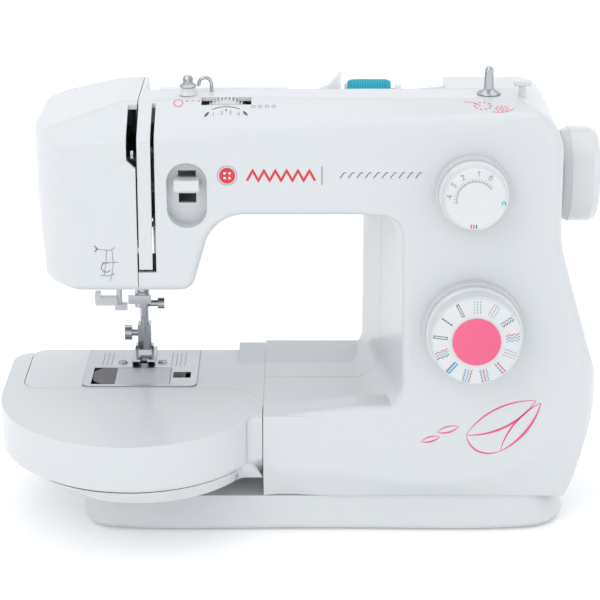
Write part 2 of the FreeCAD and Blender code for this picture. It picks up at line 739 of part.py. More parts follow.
def table_underside():
    """The table's outline at its lowest, which is tucked well in under the rim."""
    return [
        (LEFT_X + 36, FRONT_Y + 12, 56), (-57.0, FRONT_Y + 12, 74), (-37.2, CREASE_Y + 5, 8),
        (BED_END_X - SEAM, CREASE_Y + 5, 0), (BED_END_X - SEAM, TABLE_REAR_Y, 0), (LEFT_X + 36, TABLE_REAR_Y, 10),
    ]


def extension_table():
    """The table that slides round the free arm, hollow for the accessories, with its opening at the rear."""
    upper = prism(table_outline(0), xy, TABLE_RIDGE_Z, BED_Z)
    lower = loft(table_outline(0), xy(TABLE_RIDGE_Z), table_underside(), xy(TABLE_BOTTOM_Z))
    table = upper.fuse(lower).cut(prism(arm_outline(SEAM), xy, 0, 200))
    store = prism(table_outline(TABLE_WALL), xy, TABLE_RIDGE_Z - 4, BED_Z - TABLE_WALL)
    keep = prism(arm_outline(SEAM + TABLE_WALL), xy, 0, 200)
    table = table.cut(store.cut(keep))
    mouth = box(STORE_LEFT_X, STORE_RIGHT_X, ARM_FRONT_Y - 8, ARM_FRONT_Y + 2, TABLE_RIDGE_Z - 2, BED_Z - 8)
    return largest(table.cut(mouth))


# ---------------------------------------------------------------- bed fittings
def needle_plate():
    """The steel plate over the hook and feed, with the needle hole and the feed dog's slots."""
    top = BED_Z + PLATE_PROUD
    plate = prism([
        (PLATE_LEFT_X, PLATE_FRONT_Y, 5), (PLATE_RIGHT_X, PLATE_FRONT_Y, 5),
        (PLATE_RIGHT_X, PLATE_REAR_Y, 5), (PLATE_LEFT_X, PLATE_REAR_Y, 5),
    ], xy, top - PLATE_THICK, top)
    plate = plate.cut(box(COVER_LEFT_X, COVER_RIGHT_X, COVER_FRONT_Y, COVER_REAR_Y, top - 5, top + 1))
    plate = plate.cut(box(LATCH_LEFT_X, LATCH_RIGHT_X + LATCH_TRAVEL, LATCH_Y - 5, LATCH_Y + 5, top - 5, top + 1))
    plate = plate.cut(prism([
        (NEEDLE_X - 3.5, NEEDLE_Y - 1, 0.9), (NEEDLE_X + 3.5, NEEDLE_Y - 1, 0.9),
        (NEEDLE_X + 3.5, NEEDLE_Y + 1, 0.9), (NEEDLE_X - 3.5, NEEDLE_Y + 1, 0.9),
    ], xy, top - 5, top + 1))
    for x in (-DOG_SPREAD, DOG_SPREAD):
        plate = plate.cut(box(NEEDLE_X + x - 1.6, NEEDLE_X + x + 1.6, DOG_FRONT_Y - 2.1, DOG_REAR_Y + 2.1,
                              top - 5, top + 1))
    for x, y in PLATE_SCREWS:
        plate = plate.cut(rod(V(x, y, top - 5), Z_AXIS, SCREW_R, 9))
    return plate


def plate_screw(x, y):
    """A domed slotted screw that holds the needle plate."""
    top = BED_Z + PLATE_PROUD
    screw = turned([(-6, 0), (-6, SCREW_R), (0, SCREW_R), (0, SCREW_HEAD_R), (0.6, SCREW_HEAD_R),
                    (1.2, SCREW_HEAD_R - 1.2), (1.2, 0)], V(x, y, top), Z_AXIS)
    return screw.cut(box(x - 4, x + 4, y - 0.4, y + 0.4, top + 0.6, top + 3))


def bobbin_cover():
    """The lift-off cover over the bobbin: a plastic part on the right of a clear window."""
    top = BED_Z + PLATE_PROUD
    left = COVER_LEFT_X + EASY
    right = COVER_RIGHT_X - EASY
    front = COVER_FRONT_Y + EASY
    rear = COVER_REAR_Y - EASY
    solid = box(WINDOW_SPLIT_X, right, front, rear, top - PLATE_THICK, top)
    window = prism([(left, front, 10), (WINDOW_SPLIT_X, front, 0), (WINDOW_SPLIT_X, rear, 0), (left, rear, 10)],
                   xy, top - PLATE_THICK, top)
    return {"bobbin_cover": solid, "bobbin_window": window}


def cover_latch():
    """The small slider that frees the bobbin cover."""
    top = BED_Z + PLATE_PROUD
    latch = box(LATCH_LEFT_X + EASY, LATCH_RIGHT_X - EASY, LATCH_Y - 5 + EASY, LATCH_Y + 5 - EASY,
                top - PLATE_THICK, top)
    ribs = [box(x, x + 0.6, LATCH_Y - 3.5, LATCH_Y + 3.5, top - 0.2, top + 0.5)
            for x in (LATCH_LEFT_X + 2.0, LATCH_LEFT_X + 3.6, LATCH_LEFT_X + 5.2)]
    return joined(latch, *ribs)


def feed_dog():
    """The toothed feed dog: two rails joined behind the needle."""
    top = BED_Z + PLATE_PROUD - DOG_DROP
    base = top - 3.4
    rails = []
    for x in (-DOG_SPREAD, DOG_SPREAD):
        centre = NEEDLE_X + x
        rail = box(centre - 1.1, centre + 1.1, DOG_FRONT_Y, DOG_REAR_Y, base, top - 1.0)
        count = int((DOG_REAR_Y - DOG_FRONT_Y) / 1.4)
        pitch = (DOG_REAR_Y - DOG_FRONT_Y) / count
        teeth = [(DOG_FRONT_Y, top - 1.2, 0)]
        for k in range(count):
            teeth.insert(0, (DOG_FRONT_Y + k * pitch + 0.15, top, 0))
            teeth.insert(0, (DOG_FRONT_Y + (k + 1) * pitch, top - 0.9, 0))
        teeth.insert(0, (DOG_REAR_Y, top - 1.2, 0))
        rails.append(rail)
        rails.append(prism(teeth[::-1], yz, centre - 1.1, centre + 1.1))
    bridge = box(NEEDLE_X - DOG_SPREAD - 1.1, NEEDLE_X + DOG_SPREAD + 1.1, DOG_REAR_Y - 5, DOG_REAR_Y, base,
                 base + 1.2)
    return joined(bridge, *rails)


def feed_bar():
    """The bar that carries the feed dog and moves it back and forth."""
    top = BED_Z + PLATE_PROUD - DOG_DROP - 3.4 - 0.3
    pad = box(NEEDLE_X - 7, NEEDLE_X + 7, DOG_REAR_Y - 5, DOG_REAR_Y, top - 8, top)
    arm = box(NEEDLE_X + 7, FEED_BAR_END_X, DOG_REAR_Y - 5, DOG_REAR_Y, top - 8, top - 1)
    return joined(pad, arm)


# ---------------------------------------------------------------- hook and bobbin
def rotary_hook():
    """The horizontal rotary hook: a cup with a beak, on a short upright shaft with its pinion."""
    cup = turned([(0, 0), (0, HOOK_R - 2), (2, HOOK_R), (HOOK_DEPTH, HOOK_R), (HOOK_DEPTH, HOOK_R - 1.8),
                  (2.5, HOOK_R - 1.8), (2.5, 0)], V(HOOK_X, HOOK_Y, HOOK_Z), Z_AXIS)
    notch = box(HOOK_X - 3, HOOK_X + 9, HOOK_Y - HOOK_R - 1, HOOK_Y - HOOK_R + 4, HOOK_Z + 7, HOOK_Z + 20)
    shaft = rod(V(HOOK_X, HOOK_Y, ARM_BOTTOM_Z + 5), Z_AXIS, HOOK_SHAFT_R, HOOK_Z - ARM_BOTTOM_Z - 5)
    worm = rod(V(HOOK_X, HOOK_Y, LOWER_SHAFT_Z - 4), Z_AXIS, PINION_R, 8)
    return joined(cup.cut(notch), shaft, worm)


def bobbin_case():
    """The still basket inside the hook, held by a finger that reaches to the plate's edge."""
    floor = HOOK_Z + 3.0
    r = HOOK_R - 2.3
    cup = turned([(0, 0), (0, r), (CASE_HEIGHT, r), (CASE_HEIGHT, r - 2), (1.5, r - 2), (1.5, 0)],
                 V(HOOK_X, HOOK_Y, floor), Z_AXIS)
    finger = box(HOOK_X + r - 1.5, COVER_RIGHT_X + 2.5, HOOK_Y - 2.5, HOOK_Y + 2.5, HOOK_Z + HOOK_DEPTH + EASY,
                 BED_Z + PLATE_PROUD - PLATE_THICK)
    return joined(cup, finger)


def bobbin():
    """A clear bobbin with two flanges round a hollow core."""
    low = HOOK_Z + 5.0
    return turned([(0, 3), (0, BOBBIN_R), (1, BOBBIN_R), (1, 4.5), (BOBBIN_H - 1, 4.5), (BOBBIN_H - 1, BOBBIN_R),
                   (BOBBIN_H, BOBBIN_R), (BOBBIN_H, 3)], V(HOOK_X, HOOK_Y, low), Z_AXIS)


# ---------------------------------------------------------------- frame and drive
def gear(start, axis, r, width, teeth, bore):
    """A straight-toothed wheel with its tips at radius r."""
    corners = []
    root = r - 1.4
    for k in range(teeth):
        for share, radius in ((0.0, root), (0.22, r), (0.5, r), (0.72, root)):
            a = 2 * math.pi * (k + share) / teeth
            corners.append((radius * math.cos(a), radius * math.sin(a), 0))
    wheel = prism(corners, xy, 0, width).cut(rod(V(0, 0, -1), Z_AXIS, bore, width + 2))
    wheel.Placement = FreeCAD.Placement(start, FreeCAD.Rotation(Z_AXIS, axis))
    return wheel


def belt(x, width, a, ra, b, rb, thick):
    """A belt round two pulleys at a and b, each (Y, Z), with radii ra and rb."""
    def loop(grow):
        dy = b[0] - a[0]
        dz = b[1] - a[1]
        span = math.hypot(dy, dz)
        along = math.atan2(dz, dy)
        lean = math.acos((ra - rb) / span)
        pts = []
        for side in (lean, -lean):
            angle = along + side
            pts.append([(c[0] + (r + grow) * math.cos(angle), c[1] + (r + grow) * math.sin(angle))
                        for c, r in ((a, ra), (b, rb))])
        back = (a[0] - (ra + grow) * math.cos(along), a[1] - (ra + grow) * math.sin(along))
        front = (b[0] + (rb + grow) * math.cos(along), b[1] + (rb + grow) * math.sin(along))
        place = yz(x)
        edges = [
            Part.LineSegment(place(*pts[0][0]), place(*pts[0][1])).toShape(),
            Part.Arc(place(*pts[0][1]), place(*front), place(*pts[1][1])).toShape(),
            Part.LineSegment(place(*pts[1][1]), place(*pts[1][0])).toShape(),
            Part.Arc(place(*pts[1][0]), place(*back), place(*pts[0][0])).toShape(),
        ]
        return Part.Face(Part.Wire(edges)).extrude(X_AXIS * width)
    return loop(BELT_GAP + thick).cut(loop(BELT_GAP))


def pulley(x, y, z, r, width, bore):
    """A flanged pulley on the X axis through (y, z)."""
    return turned([(0, bore), (0, r + 2.0), (1.2, r + 2.0), (1.2, r), (width - 1.2, r), (width - 1.2, r + 2.0),
                   (width, r + 2.0), (width, bore)], V(x, y, z), X_AXIS)


def main_frame():
    """The cast frame: arm beam, bearing walls, needle-end bracket, column, bed beam and foot."""
    beam = box(FRAME_LEFT_X, FRAME_RIGHT_X, BEAM_FRONT_Y, BEAM_REAR_Y, SHAFT_Z - 2.5, SHAFT_Z + 21.5)
    walls = [box(x, x + BEARING_WIDTH, SHAFT_Y - 10, BEAM_FRONT_Y + 1, SHAFT_Z - 4.5, SHAFT_Z + 21.5)
             for x in BEARING_XS]
    back = box(HEAD_PLATE_X, FRAME_LEFT_X + 6, BEAM_REAR_Y, BEAM_REAR_Y + 3, HEAD_BOTTOM_Z + 20, SHAFT_Z + 21.5)
    cheek = box(HEAD_PLATE_X - 1, HEAD_PLATE_X + 3, NEEDLE_Y - 6, BEAM_REAR_Y + 3, GUIDE_LOW_Z, SHAFT_Z + 21.5)
    horn = box(HEAD_PLATE_X - 1, HEAD_PLATE_X + 3, TAKE_UP_Y - 6, NEEDLE_Y, TAKE_UP_Z - 6, SHAFT_Z + 21.5)
    peg = rod(V(HEAD_PLATE_X, TAKE_UP_Y, TAKE_UP_Z), X_AXIS, TAKE_UP_PIN_R, FACE_EDGE_X - HEAD_PLATE_X + 2)
    guides = []
    for z in (GUIDE_LOW_Z, GUIDE_HIGH_Z):
        guides.append(box(HEAD_PLATE_X - 13, NEEDLE_X + 6.3, NEEDLE_Y - 6, BEAM_REAR_Y + 1, z, z + GUIDE_THICK))
    pillar = box(COLUMN_FRAME_X, FRAME_RIGHT_X - 6, 60, BEAM_REAR_Y, FRAME_Z, SHAFT_Z)
    foot = box(BED_END_X + 5, FRAME_RIGHT_X, 30, BEAM_REAR_Y + 2, FRAME_Z, FRAME_Z + 5)
    web = box(BED_END_X + 5, BED_END_X + 13, 66, BEAM_REAR_Y + 2, FRAME_Z, BED_Z - 6)
    rail = box(ARM_END_X + 8, BED_END_X + 13, 71, BEAM_REAR_Y + 2, ARM_BOTTOM_Z + 5, BED_Z - 6)
    lugs = [box(x, x + BEARING_WIDTH, LOWER_SHAFT_Y - 7, 72, LOWER_SHAFT_Z - 7, LOWER_SHAFT_Z + 7)
            for x in LOWER_BEARING_XS[:2]]
    lugs.append(box(LOWER_BEARING_XS[2], LOWER_BEARING_XS[2] + BEARING_WIDTH, LOWER_SHAFT_Y - 7, 62,
                    FRAME_Z + 1, LOWER_SHAFT_Z + 7))
    sole = box(HOOK_X - 14, HOOK_X + 14, HOOK_Y - 10, 72, ARM_BOTTOM_Z + 3.4, ARM_BOTTOM_Z + 7)
    collar = rod(V(HOOK_X, HOOK_Y, ARM_BOTTOM_Z + 3.4), Z_AXIS, 8, 5.4)
    saddle = box(MOTOR_LEFT_X + 8, MOTOR_LEFT_X + 30, MOTOR_Y - 12, 34, FRAME_Z, MOTOR_Z - MOTOR_R + 6)
    tension_web = box(TENSION_X - 6, TENSION_X + 6, TENSION_WALL_Y, BEAM_FRONT_Y + 1, SHAFT_Z + 17.5,
                      SHAFT_Z + 21.5)
    tension_wall = box(TENSION_X - 6, TENSION_X + 6, TENSION_WALL_Y, TENSION_WALL_Y + 3, SHAFT_Z + 17.5,
                       TENSION_Z + 5)
    lever_webs = [box(x, x + 3, LEVER_PIVOT_Y - 4, BEAM_FRONT_Y + 1, LEVER_PIVOT_Z - 4, LEVER_PIVOT_Z + 4)
                  for x in (RECESS_X - 11.5, RECESS_X + 8.5)]
    lever_pin = rod(V(RECESS_X - 11, LEVER_PIVOT_Y, LEVER_PIVOT_Z), X_AXIS, 2.0, 22)
    winder_post = box(BEARING_XS[-1], BEARING_XS[-1] + BEARING_WIDTH, SHAFT_Y - 8, SHAFT_Y, SHAFT_Z + 10,
                      WINDER_ARM_Z)
    lifter_pin = rod(V(NEEDLE_X + 5, LIFTER_Y, LIFTER_Z), X_AXIS, 2.0, LIFTER_X - NEEDLE_X + 4)
    lifter_lug = box(NEEDLE_X + 2, NEEDLE_X + 6.3, LIFTER_Y - 3, BEAM_REAR_Y + 1, GUIDE_LOW_Z, LIFTER_Z + 5)
    frame = joined(beam, back, cheek, horn, peg, *walls, *guides, pillar, foot, web, rail, *lugs, sole, collar,
                   saddle, tension_web, tension_wall, *lever_webs, lever_pin, winder_post, lifter_pin, lifter_lug)
    cuts = [
        rod(V(FRAME_LEFT_X - 5, SHAFT_Y, SHAFT_Z), X_AXIS, SHAFT_R + RUN, 260),
        rod(V(LOWER_BEARING_XS[0] - 2, LOWER_SHAFT_Y, LOWER_SHAFT_Z), X_AXIS, LOWER_SHAFT_R + RUN, 220),
        rod(V(HOOK_X - 5, LOWER_SHAFT_Y, LOWER_SHAFT_Z), X_AXIS, LOWER_SHAFT_Y - HOOK_Y - PINION_R + 0.5, 10),
        rod(V(NEEDLE_X, NEEDLE_Y, GUIDE_LOW_Z - 1), Z_AXIS, NEEDLE_BAR_R + RUN, 90),
        rod(V(NEEDLE_X, PRESSER_Y, GUIDE_LOW_Z - 1), Z_AXIS, PRESSER_BAR_R + RUN, 90),
        rod(V(THREADER_X, NEEDLE_Y, GUIDE_LOW_Z - 1), Z_AXIS, THREADER_R + RUN, 90),
        rod(V(HOOK_X, HOOK_Y, ARM_BOTTOM_Z + 5 - 0.3), Z_AXIS, HOOK_SHAFT_R + RUN, 20),
        rod(V(MOTOR_LEFT_X, MOTOR_Y, MOTOR_Z), X_AXIS, MOTOR_R, 60),
        rod(V(TENSION_X, TENSION_Y, TENSION_Z), Y_AXIS, TENSION_SPINDLE_R, 30),
    ]
    return largest(frame.cut(Part.makeCompound(cuts)))


def main_shaft():
    """The upper shaft with its timing wheel, and the counterweighted crank and pin at its left end."""
    shaft = rod(V(CRANK_X, SHAFT_Y, SHAFT_Z), X_AXIS, SHAFT_R, RIGHT_X - 8 - CRANK_X)
    disc = rod(V(CRANK_X, SHAFT_Y, SHAFT_Z), X_AXIS, CRANK_R + 4, CRANK_THICK)
    hub = rod(V(CRANK_X, SHAFT_Y, SHAFT_Z), X_AXIS, SHAFT_R + 4, FRAME_LEFT_X - CRANK_X - 0.4)
    pin = rod(V(CRANK_X - 5.5, SHAFT_Y, SHAFT_Z + CRANK_R), X_AXIS, CRANK_PIN_R, 6)
    wheel = pulley(TIMING_X - TIMING_WIDTH / 2 - 1.5, SHAFT_Y, SHAFT_Z, TIMING_R, TIMING_WIDTH + 3, SHAFT_R - 0.5)
    return joined(shaft, disc, hub, pin, wheel)


def lower_shaft():
    """The lower shaft with its timing wheel and the gear that drives the hook."""
    shaft = rod(V(HOOK_X - 9, LOWER_SHAFT_Y, LOWER_SHAFT_Z), X_AXIS, LOWER_SHAFT_R, TIMING_X + 17 - HOOK_X)
    wheel = pulley(TIMING_X - TIMING_WIDTH / 2 - 1.5, LOWER_SHAFT_Y, LOWER_SHAFT_Z, TIMING_R, TIMING_WIDTH + 3,
                   LOWER_SHAFT_R - 0.5)
    driver = gear(V(HOOK_X - 4, LOWER_SHAFT_Y, LOWER_SHAFT_Z), X_AXIS, LOWER_SHAFT_Y - HOOK_Y - PINION_R - 0.3, 8, 24,
                  LOWER_SHAFT_R - 0.5)
    return joined(shaft, wheel, driver)


def needle_link():
    """The link that hangs from the crank pin towards the needle bar."""
    drop = math.sqrt(LINK_LENGTH ** 2 - (NEEDLE_Y - SHAFT_Y) ** 2)
    top = V(CRANK_X - 5.2, SHAFT_Y, SHAFT_Z + CRANK_R)
    low = V(CRANK_X - 5.2, NEEDLE_Y, SHAFT_Z + CRANK_R - drop)
    along = low - top
    bar = Part.makeBox(3.6, 4.0, along.Length, V(0, -2.0, 0))
    bar.Placement = FreeCAD.Placement(top, FreeCAD.Rotation(X_AXIS, math.degrees(math.atan2(-along.y, along.z))))
    link = joined(bar, rod(top, X_AXIS, 5, 3.6), rod(low, X_AXIS, 4.5, 3.6))
    link = link.cut(rod(top - X_AXIS, X_AXIS, CRANK_PIN_R + RUN, 8))
    return link.cut(rod(low - X_AXIS, X_AXIS, CRANK_PIN_R + RUN, 8))


def handwheel():
    """The dished handwheel."""
    width = RIGHT_X - HANDWHEEL_LEFT_X
    r = HANDWHEEL_R
    wheel = turned([
        (0, SHAFT_R), (0, r - 6), (3, r - 2.5), (8, r), (width - 5, r), (width - 1.2, r - 1.6), (width, r - 4),
        (width - 1, r - 8), (width - 4.5, r - 11), (width - 4.5, 9), (width - 1.5, 7), (width - 1.5, SHAFT_R),
    ], V(HANDWHEEL_LEFT_X, SHAFT_Y, SHAFT_Z), X_AXIS)
    return wheel


def motor():
    """The motor's can, with ribs at each end."""
    return turned([(0, 0), (0, MOTOR_R - 4), (4, MOTOR_R), (MOTOR_LENGTH - 4, MOTOR_R), (MOTOR_LENGTH, MOTOR_R - 4),
                   (MOTOR_LENGTH, MOTOR_SHAFT_R + RUN), (MOTOR_LENGTH - 12, MOTOR_SHAFT_R + RUN),
                   (MOTOR_LENGTH - 12, 0)], V(MOTOR_LEFT_X, MOTOR_Y, MOTOR_Z), X_AXIS)


def motor_rotor():
    """The motor's shaft end with its small pulley."""
    shaft = rod(V(MOTOR_LEFT_X + MOTOR_LENGTH - 11.5, MOTOR_Y, MOTOR_Z), X_AXIS, MOTOR_SHAFT_R,
                PULLEY_X + PULLEY_WIDTH / 2 + 1 - MOTOR_LEFT_X - MOTOR_LENGTH + 11.5)
    return joined(shaft, pulley(PULLEY_X - PULLEY_WIDTH / 2, MOTOR_Y, MOTOR_Z, MOTOR_PULLEY_R, PULLEY_WIDTH,
                                MOTOR_SHAFT_R - 0.5))


# ---------------------------------------------------------------- needle end
def needle_bar():
    """The needle bar, with the boss that the link drives."""
    drop = math.sqrt(LINK_LENGTH ** 2 - (NEEDLE_Y - SHAFT_Y) ** 2)
    z = SHAFT_Z + CRANK_R - drop
    bar = rod(V(NEEDLE_X, NEEDLE_Y, CLAMP_Z - 2), Z_AXIS, NEEDLE_BAR_R, NEEDLE_BAR_TOP_Z - CLAMP_Z + 2)
    boss = rod(V(NEEDLE_X, NEEDLE_Y, z - 4.5), Z_AXIS, 5.2, 9)
    return joined(bar, boss)


def needle_clamp():
    """The clamp at the needle bar's foot, with the bar and needle bores and the thread guide."""
    block = rod(V(NEEDLE_X, NEEDLE_Y, CLAMP_Z - 5.4), Z_AXIS, 5.2, 10.4)
    wing = box(NEEDLE_X - 9, NEEDLE_X + 6.5, NEEDLE_Y - 6.2, NEEDLE_Y - 4.4, CLAMP_Z - 2, CLAMP_Z + 4)
    clamp = joined(block, wing).cut(rod(V(NEEDLE_X, NEEDLE_Y, CLAMP_Z - 2), Z_AXIS, NEEDLE_BAR_R, 20))
    clamp = clamp.cut(rod(V(NEEDLE_X, NEEDLE_Y, CLAMP_Z - 20), Z_AXIS, 1.0, 18.5))
    return clamp.cut(rod(V(NEEDLE_X + 2, NEEDLE_Y, CLAMP_Z - 3.6), X_AXIS, 1.3, 12))


def clamp_screw():
    """The needle clamp's knurled thumb screw."""
    z = CLAMP_Z - 3.6
    shank = rod(V(NEEDLE_X + 2, NEEDLE_Y, z), X_AXIS, 1.3, 10)
    knob = rod(V(NEEDLE_X + 10.5, NEEDLE_Y, z), X_AXIS, 3.8, 4.5)
    neck = rod(V(NEEDLE_X + 5.4, NEEDLE_Y, z), X_AXIS, 2.2, 5.2)
    return joined(shank, neck, knob)


def needle():
    """The sewing needle, with a flat shank, a slim blade, a point and an eye."""
    top = CLAMP_Z - 2
    length = top - NEEDLE_TIP_Z
    body = turned([(0, 0), (3.5, 0.42), (length - 13, 0.42), (length - 11.5, 1.0), (length, 1.0), (length, 0)],
                  V(NEEDLE_X, NEEDLE_Y, NEEDLE_TIP_Z), Z_AXIS)
    return body.cut(box(NEEDLE_X - 0.12, NEEDLE_X + 0.12, NEEDLE_Y - 2, NEEDLE_Y + 2, NEEDLE_TIP_Z + 4,
                        NEEDLE_TIP_Z + 5.6))


def needle_threader():
    """The threader: an upright rod with a finger lever and a hooked foot."""
    bar = rod(V(THREADER_X, NEEDLE_Y, CLAMP_Z - 8), Z_AXIS, THREADER_R, GUIDE_HIGH_Z + 22 - CLAMP_Z)
    lever = box(THREADER_X - 16, THREADER_X - 1, NEEDLE_Y - 4, NEEDLE_Y + 1.5, CLAMP_Z - 4, CLAMP_Z + 1.5)
    lip = box(THREADER_X - 16, THREADER_X - 12, NEEDLE_Y - 4, NEEDLE_Y + 1.5, CLAMP_Z - 4, CLAMP_Z + 5)
    foot = box(THREADER_X - 3, THREADER_X + 5.5, NEEDLE_Y - 2.5, NEEDLE_Y + 1.5, CLAMP_Z - 8, CLAMP_Z - 3.5)
    return joined(bar, lever, lip, foot)


def take_up_lever():
    """The lever that pulls the thread tight, with its eye at the front end."""
    z_tip = TAKE_UP_Z + TAKE_UP_LENGTH * math.sin(math.radians(TAKE_UP_REST))
    y_tip = TAKE_UP_Y - TAKE_UP_LENGTH * math.cos(math.radians(TAKE_UP_REST))
    blade = prism([
        (TAKE_UP_Y + 1, TAKE_UP_Z - 4, 0), (TAKE_UP_Y + 1, TAKE_UP_Z + 4, 0), (y_tip, z_tip + 2.4, 0),
        (y_tip, z_tip - 2.4, 0),
    ], yz, TAKE_UP_X - 0.8, TAKE_UP_X + 0.8)
    hub = rod(V(TAKE_UP_X - 2, TAKE_UP_Y, TAKE_UP_Z), X_AXIS, 5.5, 4)
    tip = rod(V(TAKE_UP_X - 0.8, y_tip, z_tip), X_AXIS, 3.2, 1.6)
    lever = joined(blade, hub, tip)
    lever = lever.cut(rod(V(TAKE_UP_X - 4, TAKE_UP_Y, TAKE_UP_Z), X_AXIS, TAKE_UP_PIN_R + RUN, 8))
    return lever.cut(rod(V(TAKE_UP_X - 3, y_tip, z_tip), X_AXIS, 1.5, 6))


def presser_bar():
    """The presser bar with the bracket that the lifter raises."""
    bar = rod(V(NEEDLE_X, PRESSER_Y, FOOT_Z + 9), Z_AXIS, PRESSER_BAR_R, NEEDLE_BAR_TOP_Z - 16 - FOOT_Z - 9)
    bracket = rod(V(NEEDLE_X, PRESSER_Y, LIFTER_Z + 6.5), Z_AXIS, 5, 6)
    tab = box(NEEDLE_X, LIFTER_X + 3, PRESSER_Y - 2.5, PRESSER_Y + 4, LIFTER_Z + 6.5, LIFTER_Z + 9)
    return joined(bar, bracket, tab)


def presser_spring():
    """The spring that presses the foot down."""
    low = LIFTER_Z + 12.7
    high = GUIDE_HIGH_Z - 0.4
    turns = 9
    helix = Part.makeHelix((high - low - 1.2) / turns, high - low - 1.2, 4.3)
    helix.translate(V(NEEDLE_X, PRESSER_Y, low + 0.6))
    start = V(NEEDLE_X + 4.3, PRESSER_Y, low + 0.6)
    profile = Part.Wire([Part.Circle(start, Y_AXIS, 0.5).toShape()])
    return Part.Wire(helix.Edges).makePipeShell([profile], True, True)


def foot_holder():
    """The ankle that clips the presser foot under the bar."""
    z = FOOT_Z
    block = box(NEEDLE_X - 4.5, NEEDLE_X + 4.5, PRESSER_Y - 4.5, PRESSER_Y + 5, z + 9, z + 24)
    drop = box(NEEDLE_X - 4.0, NEEDLE_X + 4.0, PRESSER_Y - 5.0, PRESSER_Y + 2.6, z + 6.0, z + 10)
    ankle = joined(block, drop)
    ankle = ankle.cut(rod(V(NEEDLE_X, PRESSER_Y, z + 9), Z_AXIS, PRESSER_BAR_R, 20))
    ankle = ankle.cut(rod(V(NEEDLE_X - 10, PRESSER_Y, z + 17), X_AXIS, 1.5, 7.1))
    return ankle.cut(rod(V(NEEDLE_X - 10, FOOT_PIVOT_Y, FOOT_PIVOT_Z), X_AXIS, 1.2 + RUN, 20))


def foot_screw():
    """The thumb screw that clamps the ankle to the presser bar."""
    z = FOOT_Z + 17
    shank = rod(V(NEEDLE_X - 9, PRESSER_Y, z), X_AXIS, 1.5, 6)
    head = rod(V(NEEDLE_X - 13.5, PRESSER_Y, z), X_AXIS, 5.2, 5).cut(
        box(NEEDLE_X - 14, NEEDLE_X - 12.5, PRESSER_Y - 0.5, PRESSER_Y + 0.5, z - 9, z + 9))
    neck = rod(V(NEEDLE_X - 9, PRESSER_Y, z), X_AXIS, 2.4, 4.5)
    return joined(shank, neck, head)


def presser_foot():
    """The zigzag foot: two toes, a needle slot and the cross pin between two ears."""
    z = FOOT_Z
    w = FOOT_WIDTH / 2
    sole = prism([
        (FOOT_PIVOT_Y, z, 0), (FOOT_REAR_Y, z + 1.3, 0), (FOOT_REAR_Y, z + 2.6, 0), (NEEDLE_Y - 3, z + 2.2, 0),
        (FOOT_FRONT_Y, z + 5.2, 0), (FOOT_FRONT_Y - 0.3, z + 3.8, 0), (FOOT_FRONT_Y + 4, z, 0),
    ], yz, NEEDLE_X - w, NEEDLE_X + w)
    sole = sole.cut(box(NEEDLE_X - 2.0, NEEDLE_X + 2.6, FOOT_FRONT_Y - 2, NEEDLE_Y, z - 1, z + 8))
    sole = sole.cut(prism([
        (NEEDLE_X - 3.9, NEEDLE_Y - 1.6, 1.2), (NEEDLE_X + 3.9, NEEDLE_Y - 1.6, 1.2),
        (NEEDLE_X + 3.9, NEEDLE_Y + 1.6, 1.2), (NEEDLE_X - 3.9, NEEDLE_Y + 1.6, 1.2),
    ], xy, z - 1, z + 8))
    ears = [box(NEEDLE_X + x, NEEDLE_X + x + 1.6, FOOT_PIVOT_Y - 3, FOOT_PIVOT_Y + 3, z + 1, z + 9)
            for x in (-6.1, 4.5)]
    pin = rod(V(NEEDLE_X - 6.1, FOOT_PIVOT_Y, FOOT_PIVOT_Z), X_AXIS, 1.2, 12.2)
    return joined(sole, *ears, pin)


def presser_lifter():
    """The lever behind the bar that raises the foot."""
    hub = rod(V(LIFTER_X, LIFTER_Y, LIFTER_Z), X_AXIS, 4.6, 4)
    arm = box(LIFTER_X, LIFTER_X + 4, LIFTER_Y - 2.5, LIFTER_Y + 2.5, HEAD_BOTTOM_Z - 16, LIFTER_Z)
    grip = prism([
        (LIFTER_X - 1, HEAD_BOTTOM_Z - 30, 3), (LIFTER_X + 7, HEAD_BOTTOM_Z - 30, 3),
        (LIFTER_X + 7, HEAD_BOTTOM_Z - 14, 3), (LIFTER_X - 1, HEAD_BOTTOM_Z - 14, 3),
    ], xz, LIFTER_Y - 2, LIFTER_Y + 4)
    return joined(hub, arm, grip).cut(rod(V(LIFTER_X - 1, LIFTER_Y, LIFTER_Z), X_AXIS, 2.0 + RUN, 8))


def lamp():
    """The lamp beside the needle, in its holder."""
    holder = box(HEAD_PLATE_X - 30, HEAD_PLATE_X - 20, NEEDLE_Y - 6, NEEDLE_Y + 4, GUIDE_LOW_Z + 8, GUIDE_LOW_Z + 14)
    strap = box(HEAD_PLATE_X - 22, HEAD_PLATE_X - 1, NEEDLE_Y - 6, NEEDLE_Y - 2.5, GUIDE_LOW_Z + 14,
                GUIDE_LOW_Z + 17)
    stalk = box(HEAD_PLATE_X - 22, HEAD_PLATE_X - 20, NEEDLE_Y - 6, NEEDLE_Y - 2.5, GUIDE_LOW_Z + 12,
                GUIDE_LOW_Z + 16)
    bulb = turned([(0, 0), (1, 2.6), (6, 3.2), (8, 3.2), (8, 0)],
                  V(HEAD_PLATE_X - 25, NEEDLE_Y - 1, GUIDE_LOW_Z), Z_AXIS)
    return joined(holder, strap, stalk, bulb)


